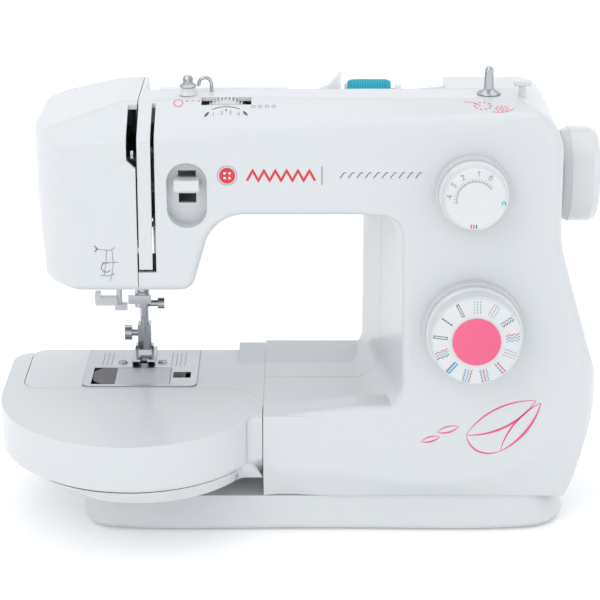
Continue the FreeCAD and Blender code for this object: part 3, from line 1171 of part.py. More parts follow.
# ---------------------------------------------------------------- controls
def dial(x, z, r, depth, grips, reach, cam_r, cam_depth):
    """A knob on the leaning front face, with finger grips, a spindle and the cam behind the panel."""
    n = front_axis()
    start = on_front(x, z, DIAL_BOSS + EASY)
    skirt = 4.0
    knob = turned([(0, 0), (0, r), (skirt, r), (skirt + 1.2, r - 1.4), (depth - 2.5, r - 2.2), (depth - 0.6, r - 3.2),
                   (depth, r - 4.6), (depth, 0)], start, n)
    side = X_AXIS.cross(n)
    flutes = []
    for k in range(grips):
        a = 2 * math.pi * (k + 0.5) / grips
        centre = start + X_AXIS * (r * math.cos(a)) + side * (r * math.sin(a)) + n * (skirt + 1.2)
        flutes.append(rod(centre, n, 1.3, depth))
    knob = knob.cut(Part.makeCompound(flutes))
    back = on_front(x, z, -WALL - reach)
    spindle = rod(back, n, DIAL_SPINDLE_R, DIAL_BOSS + WALL + reach + 2)
    cam = rod(on_front(x, z, -WALL - reach - cam_depth), n, cam_r, cam_depth)
    return knob, joined(spindle, cam)


def reverse_lever():
    """The reverse lever: a finger plate in the pocket and an arm back to its pivot."""
    y = front_y(LEVER_PIVOT_Z)
    plate = prism([
        (y + 5.5, LEVER_PIVOT_Z - 3.5, 0), (y + 5.5, LEVER_PIVOT_Z + 4.5, 0), (y - 3.5, LEVER_PIVOT_Z + 4.5, 0),
        (y - 5.0, LEVER_PIVOT_Z + 3.2, 0), (y - 5.0, LEVER_PIVOT_Z - 1.8, 0), (y - 3.0, LEVER_PIVOT_Z - 3.5, 0),
    ], yz, RECESS_X - LEVER_WIDTH / 2, RECESS_X + LEVER_WIDTH / 2)
    arm = box(RECESS_X - 4, RECESS_X + 4, y + 5, LEVER_PIVOT_Y, LEVER_PIVOT_Z - 2.5, LEVER_PIVOT_Z + 2.5)
    hub = rod(V(RECESS_X - 6, LEVER_PIVOT_Y, LEVER_PIVOT_Z), X_AXIS, 5, 12)
    return joined(plate, arm, hub).cut(rod(V(RECESS_X - 9, LEVER_PIVOT_Y, LEVER_PIVOT_Z), X_AXIS, 2.0 + RUN, 18))


def tension_set():
    """The ribbed tension wheel, its spindle and the discs that pinch the thread."""
    wheel = gear(V(TENSION_X, TENSION_Y - TENSION_WIDTH / 2, TENSION_Z), Y_AXIS, TENSION_R, TENSION_WIDTH, 44,
                 TENSION_SPINDLE_R + RUN)
    spindle_y = TENSION_Y - TENSION_WIDTH / 2 - 2
    spindle = rod(V(TENSION_X, spindle_y, TENSION_Z), Y_AXIS, TENSION_SPINDLE_R, TENSION_WALL_Y + 3.4 - spindle_y)
    discs = [turned([(0, TENSION_SPINDLE_R), (0, 9), (0.7, 11.5), (1.4, 11.5), (1.4, TENSION_SPINDLE_R)],
                    V(TENSION_X, y, TENSION_Z), Y_AXIS) for y in (TENSION_Y + 7, TENSION_Y + 8.4)]
    washer = tube(V(TENSION_X, TENSION_Y + 9.8, TENSION_Z), Y_AXIS, 5, TENSION_SPINDLE_R,
                  TENSION_WALL_Y - TENSION_Y - 9.8)
    return {"tension_wheel": wheel, "tension_discs": joined(spindle, discs[0], discs[1], washer)}


def power_fittings():
    """The inlet and the rocker switch low on the right side."""
    y, z, x = SOCKET_Y, SOCKET_Z, SOCKET_X
    inlet = box(x + 1, x + 14, y - 14.6, y + 14.6, z - 11.6, z + 11.6)
    inlet = inlet.cut(box(x + 4, x + 20, y - 10, y + 10, z - 6, z + 6))
    pins = [box(x + 2, x + 11, y + p - 1, y + p + 1, z - 2, z + 2) for p in (-5.0, 5.0)]
    bezel = box(x + 1, x + 12, SWITCH_Y - 10.6, SWITCH_Y + 10.6, z - 11.6, z + 11.6)
    bezel = bezel.cut(box(x + 3, x + 20, SWITCH_Y - 7, SWITCH_Y + 7, z - 9, z + 9))
    rocker = prism([
        (x + 5, z - 7.5, 0), (x + 11, z - 8.2, 0), (x + 13.5, z, 0), (x + 11, z + 8.2, 0), (x + 5, z + 7.5, 0),
    ], xz, SWITCH_Y - 6.6, SWITCH_Y + 6.6)
    return {"power_inlet": Part.makeCompound([joined(inlet, *pins), bezel]), "power_switch": rocker}


# ---------------------------------------------------------------- top fittings
def winder():
    """The bobbin winder: a sliding arm, its spindle and the friction wheel."""
    arm = box(WINDER_X - 12, BEARING_XS[-1] + BEARING_WIDTH + 6, WINDER_Y - 7, SHAFT_Y - 1, WINDER_ARM_Z + 0.3,
              WINDER_ARM_Z + 4.3)
    arm = arm.cut(rod(V(WINDER_X, WINDER_Y, WINDER_ARM_Z - 1), Z_AXIS, WINDER_R + RUN, 8))
    top = OVERALL_HEIGHT - WINDER_ARM_Z
    spindle = turned([
        (-5, 0), (-5, WINDER_R), (TOP_Z - WINDER_ARM_Z + 0.5, WINDER_R), (TOP_Z - WINDER_ARM_Z + 0.5, 7.5),
        (TOP_Z - WINDER_ARM_Z + 1.5, 7.2), (TOP_Z - WINDER_ARM_Z + 3.5, WINDER_R + 0.3), (top - 1.5, WINDER_R - 0.2),
        (top, WINDER_R - 1.2), (top, 0),
    ], V(WINDER_X, WINDER_Y, WINDER_ARM_Z), Z_AXIS)
    tyre = rod(V(WINDER_X, WINDER_Y, WINDER_ARM_Z - 5), Z_AXIS, 11, 4.6)
    return {"winder_arm": arm, "winder_spindle": joined(spindle, tyre)}


def winder_stopper():
    """The stop that a full bobbin runs against."""
    stem = rod(V(STOPPER_X, STOPPER_Y, TOP_Z - 6), Z_AXIS, STEM_R, 12.5)
    cap = box(STOPPER_X - 5.5, STOPPER_X + 5.5, STOPPER_Y - 3.5, STOPPER_Y + 3.5, TOP_Z + 6, TOP_Z + 9.7)
    return joined(stem, cap.makeFillet(1.2, cap.Edges))


def guide_post():
    """The winding tension post: a plastic seat and a steel disc with its knob."""
    seat = turned([(-6, 0), (-6, STEM_R), (0.05, STEM_R), (0.05, 5.5), (2.0, 4.8), (4.5, 4.4), (4.5, 0)],
                  V(POST_X, POST_Y, TOP_Z), Z_AXIS)
    disc = turned([(4.5, 0), (4.5, 4.6), (5.3, 5.4), (6.0, 5.4), (6.8, 4.2), (8.2, 3.0), (10.5, 3.4), (12, 2.4),
                   (12, 0)], V(POST_X, POST_Y, TOP_Z), Z_AXIS)
    return {"guide_post": seat, "guide_disc": disc}


def thread_hook():
    """The wire hook that leads the thread off the spool."""
    x, y, z = HOOK_GUIDE_X, HOOK_GUIDE_Y, TOP_Z
    leg = rod(V(x, y, z - 6), Z_AXIS, WIRE_R, 11)
    circle = Part.Circle(V(x, y, z + 5), Z_AXIS, WIRE_R)
    bow = Part.Face(Part.Wire([circle.toShape()])).revolve(V(x - 4, y, z + 5), V(0, -1, 0), 200)
    return joined(leg, bow)


def spool_pin():
    """The level pin that the spool lies on, with its seat in the casing."""
    pin = rod(V(SPOOL_PIN_END_X, SPOOL_Y, SPOOL_Z), X_AXIS, SPOOL_PIN_R, SHELF_RIGHT_X + 2 - SPOOL_PIN_END_X)
    seat = turned([(0, 0), (0, 5), (SHELF_RIGHT_X - SPOOL_RIGHT_X - 5, 7), (SHELF_RIGHT_X - SPOOL_RIGHT_X - 3, 7),
                   (SHELF_RIGHT_X - SPOOL_RIGHT_X - 3, 0)], V(SPOOL_RIGHT_X + 3, SPOOL_Y, SPOOL_Z), X_AXIS)
    return joined(pin, seat)


def thread_spool():
    """A reel of thread: the reel and the thread wound on it."""
    length = SPOOL_RIGHT_X - SPOOL_LEFT_X
    start = V(SPOOL_LEFT_X, SPOOL_Y, SPOOL_Z)
    bore = SPOOL_PIN_R + EASY
    reel = turned([(0, bore), (0, 9), (1.5, 9.5), (1.5, 6), (length - 4, 6), (length - 4, 8.5), (length, 8), (length, bore)],
                  start, X_AXIS)
    wound = turned([(2, 6), (2, SPOOL_R - 0.8), (4, SPOOL_R), (length - 7, SPOOL_R), (length - 4.5, SPOOL_R - 1.5),
                    (length - 4.5, 6)], start, X_AXIS)
    return {"spool_reel": reel, "spool_thread": wound}


def spool_cap():
    """The cone that keeps the reel on its pin."""
    length = CAP_RIGHT_X - CAP_LEFT_X
    return turned([(0, SPOOL_PIN_R + EASY), (0, 5.0), (1, 6.2), (6, 8.2), (length - 3, CAP_R - 2.5),
                   (length - 1.6, CAP_R), (length, CAP_R), (length, CAP_R - 2), (length - 1.5, CAP_R - 4),
                   (length - 1.5, SPOOL_PIN_R + EASY)], V(CAP_LEFT_X, SPOOL_Y, SPOOL_Z), X_AXIS)


def carrying_handle():
    """The folding handle: two arms and a grip, lying on the shelf."""
    low = SHELF_Z + 0.8
    x0, x1 = HANDLE_LEFT_X, HANDLE_RIGHT_X
    arms = [prism([
        (HANDLE_PIVOT_Y - 4.5, low, 3), (REAR_Y - 12, low, 0), (REAR_Y - 12, low + 8.2, 0),
        (HANDLE_PIVOT_Y - 4.5, HANDLE_PIVOT_Z + 4, 3.5),
    ], yz, x, x + 8) for x in (x0, x1 - 8)]
    grip = prism([
        (REAR_Y - 19, low, 2), (REAR_Y - 5.0, low, 3), (REAR_Y - 5.0, low + 8.2, 3.5), (REAR_Y - 19, low + 8.2, 3.5),
    ], yz, x0, x1)
    return joined(*arms, grip).cut(rod(V(x0 - 1, HANDLE_PIVOT_Y, HANDLE_PIVOT_Z), X_AXIS, HANDLE_PIN_R + RUN, 200))


def handle_pins():
    """The two pins that the handle turns on."""
    return [rod(V(x, HANDLE_PIVOT_Y, HANDLE_PIVOT_Z), X_AXIS, HANDLE_PIN_R, 11)
            for x in (HANDLE_LEFT_X - 4.4, HANDLE_RIGHT_X - 6.6)]


def case_screw(x, z):
    """A screw that holds the needle-end cover, with its head seated at x."""
    return rod(V(x - 1.4, SCREW_Y, z), X_AXIS, SCREW_HEAD_R, 1.4)


def build():
    """Every piece by its name."""
    pieces = covers()
    pieces["base_tray"] = base_tray()
    pieces["rubber_feet"] = Part.makeCompound(rubber_feet())
    pieces["free_arm_cover"] = free_arm_cover()
    pieces["extension_table"] = extension_table()
    pieces["needle_plate"] = needle_plate()
    pieces["fixings"] = Part.makeCompound(
        [plate_screw(x, y) for x, y in PLATE_SCREWS] + [case_screw(x, z) for x, z in CASE_SCREWS] + handle_pins())
    pieces.update(bobbin_cover())
    pieces["cover_latch"] = cover_latch()
    pieces["feed_dog"] = feed_dog()
    pieces["feed_bar"] = feed_bar()
    pieces["rotary_hook"] = rotary_hook()
    pieces["bobbin_case"] = bobbin_case()
    pieces["bobbin"] = bobbin()
    pieces["main_frame"] = main_frame()
    pieces["main_shaft"] = main_shaft()
    pieces["needle_link"] = needle_link()
    pieces["handwheel"] = handwheel()
    pieces["drive_pulley"] = pulley(PULLEY_X - PULLEY_WIDTH / 2, SHAFT_Y, SHAFT_Z, PULLEY_R, PULLEY_WIDTH, SHAFT_R)
    pieces["lower_shaft"] = lower_shaft()
    pieces["belts"] = Part.makeCompound([
        belt(TIMING_X - TIMING_WIDTH / 2, TIMING_WIDTH, (SHAFT_Y, SHAFT_Z), TIMING_R,
             (LOWER_SHAFT_Y, LOWER_SHAFT_Z), TIMING_R, 1.4),
        belt(PULLEY_X - 2.5, 5.0, (SHAFT_Y, SHAFT_Z), PULLEY_R, (MOTOR_Y, MOTOR_Z), MOTOR_PULLEY_R, 1.4),
    ])
    pieces["motor"] = motor()
    pieces["motor_rotor"] = motor_rotor()
    pieces["needle_bar"] = needle_bar()
    pieces["needle_clamp"] = needle_clamp()
    pieces["clamp_screw"] = clamp_screw()
    pieces["needle"] = needle()
    pieces["needle_threader"] = needle_threader()
    pieces["take_up_lever"] = take_up_lever()
    pieces["presser_bar"] = presser_bar()
    pieces["presser_spring"] = presser_spring()
    pieces["foot_holder"] = foot_holder()
    pieces["foot_screw"] = foot_screw()
    pieces["presser_foot"] = presser_foot()
    pieces["presser_lifter"] = presser_lifter()
    pieces["lamp"] = lamp()
    knob, cam = dial(LENGTH_DIAL_X, LENGTH_DIAL_Z, LENGTH_DIAL_R, LENGTH_DIAL_DEPTH, 30, 3.0, 9.0, 5.0)
    pieces["length_dial"] = joined(knob, cam)
    knob, cams = dial(PATTERN_DIAL_X, PATTERN_DIAL_Z, PATTERN_DIAL_R, PATTERN_DIAL_DEPTH, 36, 3.0, 16.0, 22.0)
    cap_start = on_front(PATTERN_DIAL_X, PATTERN_DIAL_Z, DIAL_BOSS + EASY + PATTERN_DIAL_DEPTH - 1.0)
    cap = rod(cap_start, front_axis(), PATTERN_CAP_R, 1.8)
    pieces["pattern_dial"] = joined(knob, cams).cut(cap)
    pieces["pattern_dial_cap"] = cap
    pieces["reverse_lever"] = reverse_lever()
    pieces.update(tension_set())
    pieces.update(power_fittings())
    pieces.update(winder())
    pieces["winder_stopper"] = winder_stopper()
    pieces.update(guide_post())
    pieces["thread_hook"] = thread_hook()
    pieces["spool_pin"] = spool_pin()
    pieces.update(thread_spool())
    pieces["spool_cap"] = spool_cap()
    pieces["carrying_handle"] = carrying_handle()
    return pieces


if __name__ == "__main__":
    os.makedirs("parts", exist_ok=True)
    for name, shape in build().items():
        shape.exportStep("parts/" + name + ".step")
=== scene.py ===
"""A domestic sewing machine: its finishes, its printed marks and the pieces that need a finer surface.

Every length is in metres in the row frame: X from the needle end to the handwheel, Y from the operator to
the rear, Z up from the table top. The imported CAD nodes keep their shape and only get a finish, and each new
surface is worked out with numpy as a grid of points.
"""

import logging
import math
from dataclasses import dataclass, field
from enum import Enum
from typing import Optional, Sequence

import bmesh
import bpy
import numpy as np
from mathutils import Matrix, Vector


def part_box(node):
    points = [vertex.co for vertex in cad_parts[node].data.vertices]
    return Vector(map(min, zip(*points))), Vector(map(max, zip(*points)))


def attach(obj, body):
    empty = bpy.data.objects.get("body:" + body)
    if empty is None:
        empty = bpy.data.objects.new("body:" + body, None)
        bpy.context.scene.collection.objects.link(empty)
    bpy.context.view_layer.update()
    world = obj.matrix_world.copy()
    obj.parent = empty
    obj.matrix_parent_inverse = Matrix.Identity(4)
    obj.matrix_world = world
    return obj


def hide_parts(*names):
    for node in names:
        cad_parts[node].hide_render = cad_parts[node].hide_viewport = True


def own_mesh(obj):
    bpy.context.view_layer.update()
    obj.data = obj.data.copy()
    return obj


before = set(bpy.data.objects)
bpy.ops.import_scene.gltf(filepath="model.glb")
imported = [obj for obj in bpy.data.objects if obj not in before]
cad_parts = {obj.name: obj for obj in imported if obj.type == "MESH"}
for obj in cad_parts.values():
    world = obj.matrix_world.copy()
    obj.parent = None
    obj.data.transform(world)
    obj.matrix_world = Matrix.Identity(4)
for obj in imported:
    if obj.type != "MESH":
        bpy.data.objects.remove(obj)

LOG = logging.getLogger("sewing_machine")
MM = 0.001
Colour = tuple[float, float, float, float]


# ---------------------------------------------------------------- colour, nodes and meshes
def linear(hex_code: str) -> Colour:
    """Turns an sRGB hex colour into the linear values that shaders use.

    Args:
        hex_code: six hex digits, such as "E3E7EA".

    Returns:
        Red, green, blue and an alpha of 1, each from 0 to 1.
    """
    values = [int(hex_code[i : i + 2], 16) / 255 for i in (0, 2, 4)]
    lit = [v / 12.92 if v <= 0.04045 else ((v + 0.055) / 1.055) ** 2.4 for v in values]
    return (lit[0], lit[1], lit[2], 1.0)


def add_node(
    tree: bpy.types.NodeTree, kind: str, settings: Optional[dict] = None, links: Optional[dict] = None
) -> bpy.types.Node:
    """Adds one shader node.

    Args:
        tree: the material's or world's node tree.
        kind: the node's type name, such as "ShaderNodeTexNoise".
        settings: values by name; a name of an input socket sets that socket, any other sets an attribute.
        links: the output socket to plug in, by the name of this node's input.

    Returns:
        The new node.
    """
    node = tree.nodes.new(kind)
    for name, value in (settings or {}).items():
        if isinstance(name, int) or name in node.inputs:
            node.inputs[name].default_value = value
        else:
            setattr(node, name, value)
    for name, source in (links or {}).items():
        tree.links.new(source, node.inputs[name])
    return node


def make_mesh(name: str, points: np.ndarray, faces: np.ndarray, smooth: bool = True) -> bpy.types.Object:
    """Puts points and faces into a new object at the origin.

    Args:
        name: the piece's name.
        points: an (n, 3) array in metres.
        faces: an (m, 3) or (m, 4) array of point indices.
        smooth: whether the faces are shaded smooth.

    Returns:
        The object, linked to the scene.
    """
    mesh = bpy.data.meshes.new(name)
    mesh.from_pydata(points.tolist(), [], faces.tolist())
    mesh.update()
    mesh.polygons.foreach_set("use_smooth", np.full(len(mesh.polygons), smooth))
    piece = bpy.data.objects.new(name, mesh)
    bpy.context.scene.collection.objects.link(piece)
    return piece


def lattice_faces(rows: int, columns: int, wrap_rows: bool, wrap_columns: bool) -> np.ndarray:
    """The quads of a grid of points.

    Args:
        rows: how many points along the first parameter.
        columns: how many along the second.
        wrap_rows: whether the last row joins the first.
        wrap_columns: whether the last column joins the first.

    Returns:
        An (m, 4) array of indices into the flattened grid.
    """
    i = np.arange(rows if wrap_rows else rows - 1)[:, None]
    j = np.arange(columns if wrap_columns else columns - 1)[None, :]
    i2, j2 = (i + 1) % rows, (j + 1) % columns
    quads = np.stack([i * columns + j, i2 * columns + j, i2 * columns + j2, i * columns + j2], axis=-1)
    return quads.reshape(-1, 4)


def tidy(piece: bpy.types.Object, gap: float = 1e-6) -> bpy.types.Object:
    """Merges a piece's doubled points and turns its faces outwards.

    Args:
        piece: the piece, at the origin.
        gap: how near two points lie to count as one, in metres.

    Returns:
        The same piece.
    """
    work = bmesh.new()
    work.from_mesh(piece.data)
    bmesh.ops.remove_doubles(work, verts=work.verts, dist=gap)
    bmesh.ops.recalc_face_normals(work, faces=work.faces)
    work.to_mesh(piece.data)
    work.free()
    return piece


# ---------------------------------------------------------------- finishes
class Grain(Enum):
    """How the fine relief of a surface was made."""

    MOULDED = "fine spark texture of a moulding"
    BRUSHED = "straight lines of a brushed sheet"
    CAST = "pitted skin of a casting"
    POLISHED = "slight waves of a polished plate"
    WOUND = "thread wound side by side"


@dataclass(frozen=True)
class Finish:
    """A real material and how its surface was made."""

    name: str
    hex_code: str
    roughness: float
    grain: Grain
    grain_mm: float
    relief_mm: float = 0.02
    metallic: float = 0.0
    ior: float = 1.5
    coat: float = 0.0
    transmission: float = 0.0
    tint_hex: Optional[str] = None
    emission: float = 0.0

    def pattern(self, tree: bpy.types.NodeTree) -> bpy.types.NodeSocket:
        """The grey relief pattern of the finish, from 0 to 1, on Object coordinates.

        Args:
            tree: the material's node tree.

        Returns:
            The output socket of the pattern.
        """
        where = add_node(tree, "ShaderNodeTexCoord")
        per_metre = 1000 / self.grain_mm
        stretch = (1.0, 1.0, 1.0)
        if self.grain is Grain.BRUSHED:
            stretch = (0.04, 1.0, 1.0)
        mapping = add_node(tree, "ShaderNodeMapping", {"Scale": stretch}, {"Vector": where.outputs["Object"]})
        if self.grain is Grain.CAST:
            cells = add_node(
                tree, "ShaderNodeTexVoronoi", {"Scale": per_metre, "Randomness": 1.0},
                {"Vector": mapping.outputs["Vector"]},
            )
            return cells.outputs["Distance"]
        if self.grain is Grain.WOUND:
            bands = add_node(
                tree, "ShaderNodeTexWave",
                {"Scale": per_metre / 6.2, "Distortion": 0.6, "bands_direction": "X"},
                {"Vector": mapping.outputs["Vector"]},
            )
            return bands.outputs["Fac"]
        noise = add_node(
            tree, "ShaderNodeTexNoise", {"Scale": per_metre, "Detail": 3.0, "Roughness": 0.55},
            {"Vector": mapping.outputs["Vector"]},
        )
        return noise.outputs["Fac"]

    def material(self) -> bpy.types.Material:
        """Builds the material, or finds it if it is there already.

        Returns:
            The material, named for the finish.
        """
        known = bpy.data.materials.get(self.name)
        if known:
            return known
        made = bpy.data.materials.new(self.name)
        made.use_nodes = True
        tree = made.node_tree
        tree.nodes.clear()
        fac = self.pattern(tree)
        base = linear(self.hex_code)
        second = linear(self.tint_hex) if self.tint_hex else tuple(c * 0.94 for c in base[:3]) + (1.0,)
        where = add_node(tree, "ShaderNodeTexCoord")
        drift = add_node(
            tree, "ShaderNodeTexNoise", {"Scale": 14.0, "Detail": 2.0}, {"Vector": where.outputs["Object"]}
        )
        blend = add_node(tree, "ShaderNodeMix", {"data_type": "RGBA", "blend_type": "MIX"})
        colours = [s for s in blend.inputs if s.type == "RGBA"]
        colours[0].default_value = base
        colours[1].default_value = second
        amount = add_node(
            tree, "ShaderNodeMapRange", {"From Min": 0.35, "From Max": 0.75, "To Min": 0.0, "To Max": 1.0},
            {"Value": drift.outputs["Fac"] if self.grain is not Grain.WOUND else fac},
        )
        tree.links.new(amount.outputs["Result"], blend.inputs["Factor"])
        shine = add_node(
            tree, "ShaderNodeMapRange",
            {
                "From Min": 0.2, "From Max": 0.8, "To Min": self.roughness * 0.88,
                "To Max": self.roughness * 1.14,
            },
            {"Value": fac},
        )
        bump = add_node(
            tree, "ShaderNodeBump", {"Strength": 0.5, "Distance": self.relief_mm * MM}, {"Height": fac}
        )
        shader = add_node(
            tree, "ShaderNodeBsdfPrincipled",
            {
                "Metallic": self.metallic, "Coat Weight": self.coat,
                "Coat Roughness": 0.12, "Transmission Weight": self.transmission,
            },
            {
                "Base Color": [s for s in blend.outputs if s.type == "RGBA"][0],
                "Roughness": shine.outputs["Result"], "Normal": bump.outputs["Normal"],
            },
        )
        if self.metallic < 0.5:
            shader.inputs["IOR"].default_value = self.ior
        if self.emission:
            shader.inputs["Emission Color"].default_value = base
            shader.inputs["Emission Strength"].default_value = self.emission
        out = add_node(tree, "ShaderNodeOutputMaterial")
        tree.links.new(shader.outputs["BSDF"], out.inputs["Surface"])
        return made

    def dress(self, piece: bpy.types.Object) -> bpy.types.Object:
        """Gives the whole piece this finish.

        Args:
            piece: a CAD node's object or a new piece.

        Returns:
            The same piece.
        """
        made = self.material()
        if not piece.data.materials:
            piece.data.materials.append(made)
        for i in range(len(piece.material_slots)):
            piece.material_slots[i].material = made
        return piece


# ABS with a fine satin gloss: a cool white that keeps a soft highlight along every edge.
CASE_ABS = Finish(
    "abs_white_moulded", "CBCED1", 0.30, Grain.MOULDED, 0.9, 0.008, coat=0.25, tint_hex="CACED0"
)
# The same ABS with a brighter tool finish, so the knobs read crisper than the casing.
KNOB_ABS = Finish("abs_white_glossy", "CFD2D4", 0.24, Grain.MOULDED, 0.7, 0.006, coat=0.35, tint_hex="CBCED0")
# Light grey acetal for the bobbin cover: darker and duller than the casing.
COVER_ACETAL = Finish("acetal_pale_grey", "BDC0C5", 0.38, Grain.MOULDED, 0.8, 0.01)
# Stainless sheet brushed along the bed: a pale silver with fine lines from left to right.
PLATE_STEEL = Finish("stainless_brushed", "C2C5CA", 0.30, Grain.BRUSHED, 0.5, 0.01, metallic=1.0)
# Nickel plating over turned steel: sharp reflections with slight waves.
NICKEL = Finish("nickel_plated", "B4B6BA", 0.14, Grain.POLISHED, 6.0, 0.02, metallic=1.0)
# Ground and oiled steel: darker and softer than the plating.
OILED_STEEL = Finish("steel_ground_oiled", "8E9196", 0.32, Grain.BRUSHED, 0.6, 0.01, metallic=1.0)
# Cast aluminium: a dull pitted grey.
CAST_ALLOY = Finish("aluminium_cast", "9C9FA3", 0.55, Grain.CAST, 1.2, 0.06, metallic=0.9)
# Black nylon: a deep soft black.
BLACK_NYLON = Finish("nylon_black_moulded", "1B1C1F", 0.45, Grain.MOULDED, 0.8, 0.01)
# Moulded rubber: black and nearly matt.
RUBBER = Finish("rubber_moulded", "1E1E20", 0.72, Grain.MOULDED, 0.6, 0.03, ior=1.52)
# Stove enamel on the motor's can: dark with a slight orange peel.
ENAMEL = Finish("enamel_dark_stoved", "2E3035", 0.35, Grain.MOULDED, 1.6, 0.02, coat=0.3)
# Smoked acrylic: a dark clear window with a hard gloss.
SMOKED_ACRYLIC = Finish(
    "acrylic_smoked", "5A5F66", 0.08, Grain.POLISHED, 8.0, 0.004, ior=1.49, transmission=0.85
)
# Clear polycarbonate for the bobbin: bright with faint blue edges.
CLEAR_PLASTIC = Finish(
    "polycarbonate_clear", "D9E6EC", 0.10, Grain.POLISHED, 8.0, 0.004, ior=1.58, transmission=0.9
)
# Gloss insert in the middle of the pattern dial: a saturated pink with a clear coat.
PINK_INSERT = Finish(
    "abs_pink_glossy", "E0567F", 0.22, Grain.MOULDED, 1.0, 0.006, coat=0.5, tint_hex="DB4F79"
)
# Polyester sewing thread, wound: a teal sheen broken into fine rings.
TEAL_THREAD = Finish("polyester_thread_teal", "2FB4C6", 0.55, Grain.WOUND, 0.8, 0.12, tint_hex="1E9BAF")
# Frosted glass of the lamp.
LAMP_GLASS = Finish("glass_frosted", "F4F0E2", 0.4, Grain.MOULDED, 1.0, 0.01)
# Screen-printed inks: thin and slightly glossy on the casing.
RED_INK = Finish("ink_red_printed", "CF2F3A", 0.35, Grain.MOULDED, 0.4, 0.004)
PINK_INK = Finish("ink_pink_printed", "DE4E7C", 0.35, Grain.MOULDED, 0.4, 0.004)
GREY_INK = Finish("ink_grey_printed", "8A9097", 0.4, Grain.MOULDED, 0.4, 0.004)
DARK_INK = Finish("ink_charcoal_printed", "4A4F57", 0.4, Grain.MOULDED, 0.4, 0.004)
TEAL_INK = Finish("ink_teal_printed", "35A9B8", 0.4, Grain.MOULDED, 0.4, 0.004)
WHITE_INK = Finish("ink_white_printed", "F7F7F7", 0.35, Grain.MOULDED, 0.4, 0.004)
BLUE_INK = Finish("ink_slate_printed", "5D7FA8", 0.4, Grain.MOULDED, 0.4, 0.004)
# Painted studio floor: a plain pale sweep.
STUDIO_PAINT = Finish(
    "studio_paint_pale", "FCFCFC", 0.85, Grain.MOULDED, 3.0, 0.01, tint_hex="FBFBFB", emission=0.12
)


FINISH_OF_NODE: dict[Finish, tuple[str, ...]] = {
    CASE_ABS: (
        "front_cover", "rear_cover", "face_cover", "thread_strip", "free_arm_cover", "extension_table",
        "base_tray",
    ),
    KNOB_ABS: (
        "length_dial", "pattern_dial", "reverse_lever", "tension_wheel", "winder_stopper", "guide_post",
        "spool_cap", "spool_pin", "carrying_handle", "handwheel", "spool_reel", "needle_threader",
        "presser_lifter",
    ),
    RUBBER: ("rubber_feet", "belts"),
    PLATE_STEEL: ("needle_plate",),
    NICKEL: (
        "presser_foot", "foot_holder", "foot_screw", "presser_bar", "needle_bar", "needle_clamp",
        "clamp_screw", "needle", "take_up_lever", "fixings", "guide_disc", "thread_hook", "tension_discs",
        "winder_spindle",
    ),
    OILED_STEEL: (
        "feed_dog", "feed_bar", "main_shaft", "needle_link", "lower_shaft", "presser_spring", "rotary_hook",
        "winder_arm",
    ),
    COVER_ACETAL: ("bobbin_cover",),
    BLACK_NYLON: ("cover_latch", "bobbin_case", "drive_pulley", "power_inlet", "power_switch"),
    SMOKED_ACRYLIC: ("bobbin_window",),
    CLEAR_PLASTIC: ("bobbin",),
    CAST_ALLOY: ("main_frame",),
    ENAMEL: ("motor", "motor_rotor"),
    PINK_INSERT: ("pattern_dial_cap",),
    TEAL_THREAD: ("spool_thread",),
    LAMP_GLASS: ("lamp",),
}


def dress_nodes() -> None:
    """Gives every CAD node the finish of its real material."""
    for finish, names in FINISH_OF_NODE.items():
        for name in names:
            finish.dress(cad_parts[name])
        LOG.info("%s on %d nodes", finish.name, len(names))


# ---------------------------------------------------------------- surfaces that marks lie on
class View(Enum):
    """The side that a skin is looked at from: the across, up and depth axes, and the side's sign."""

    FRONT = (0, 2, 1, -1)
    TOP = (0, 1, 2, 1)


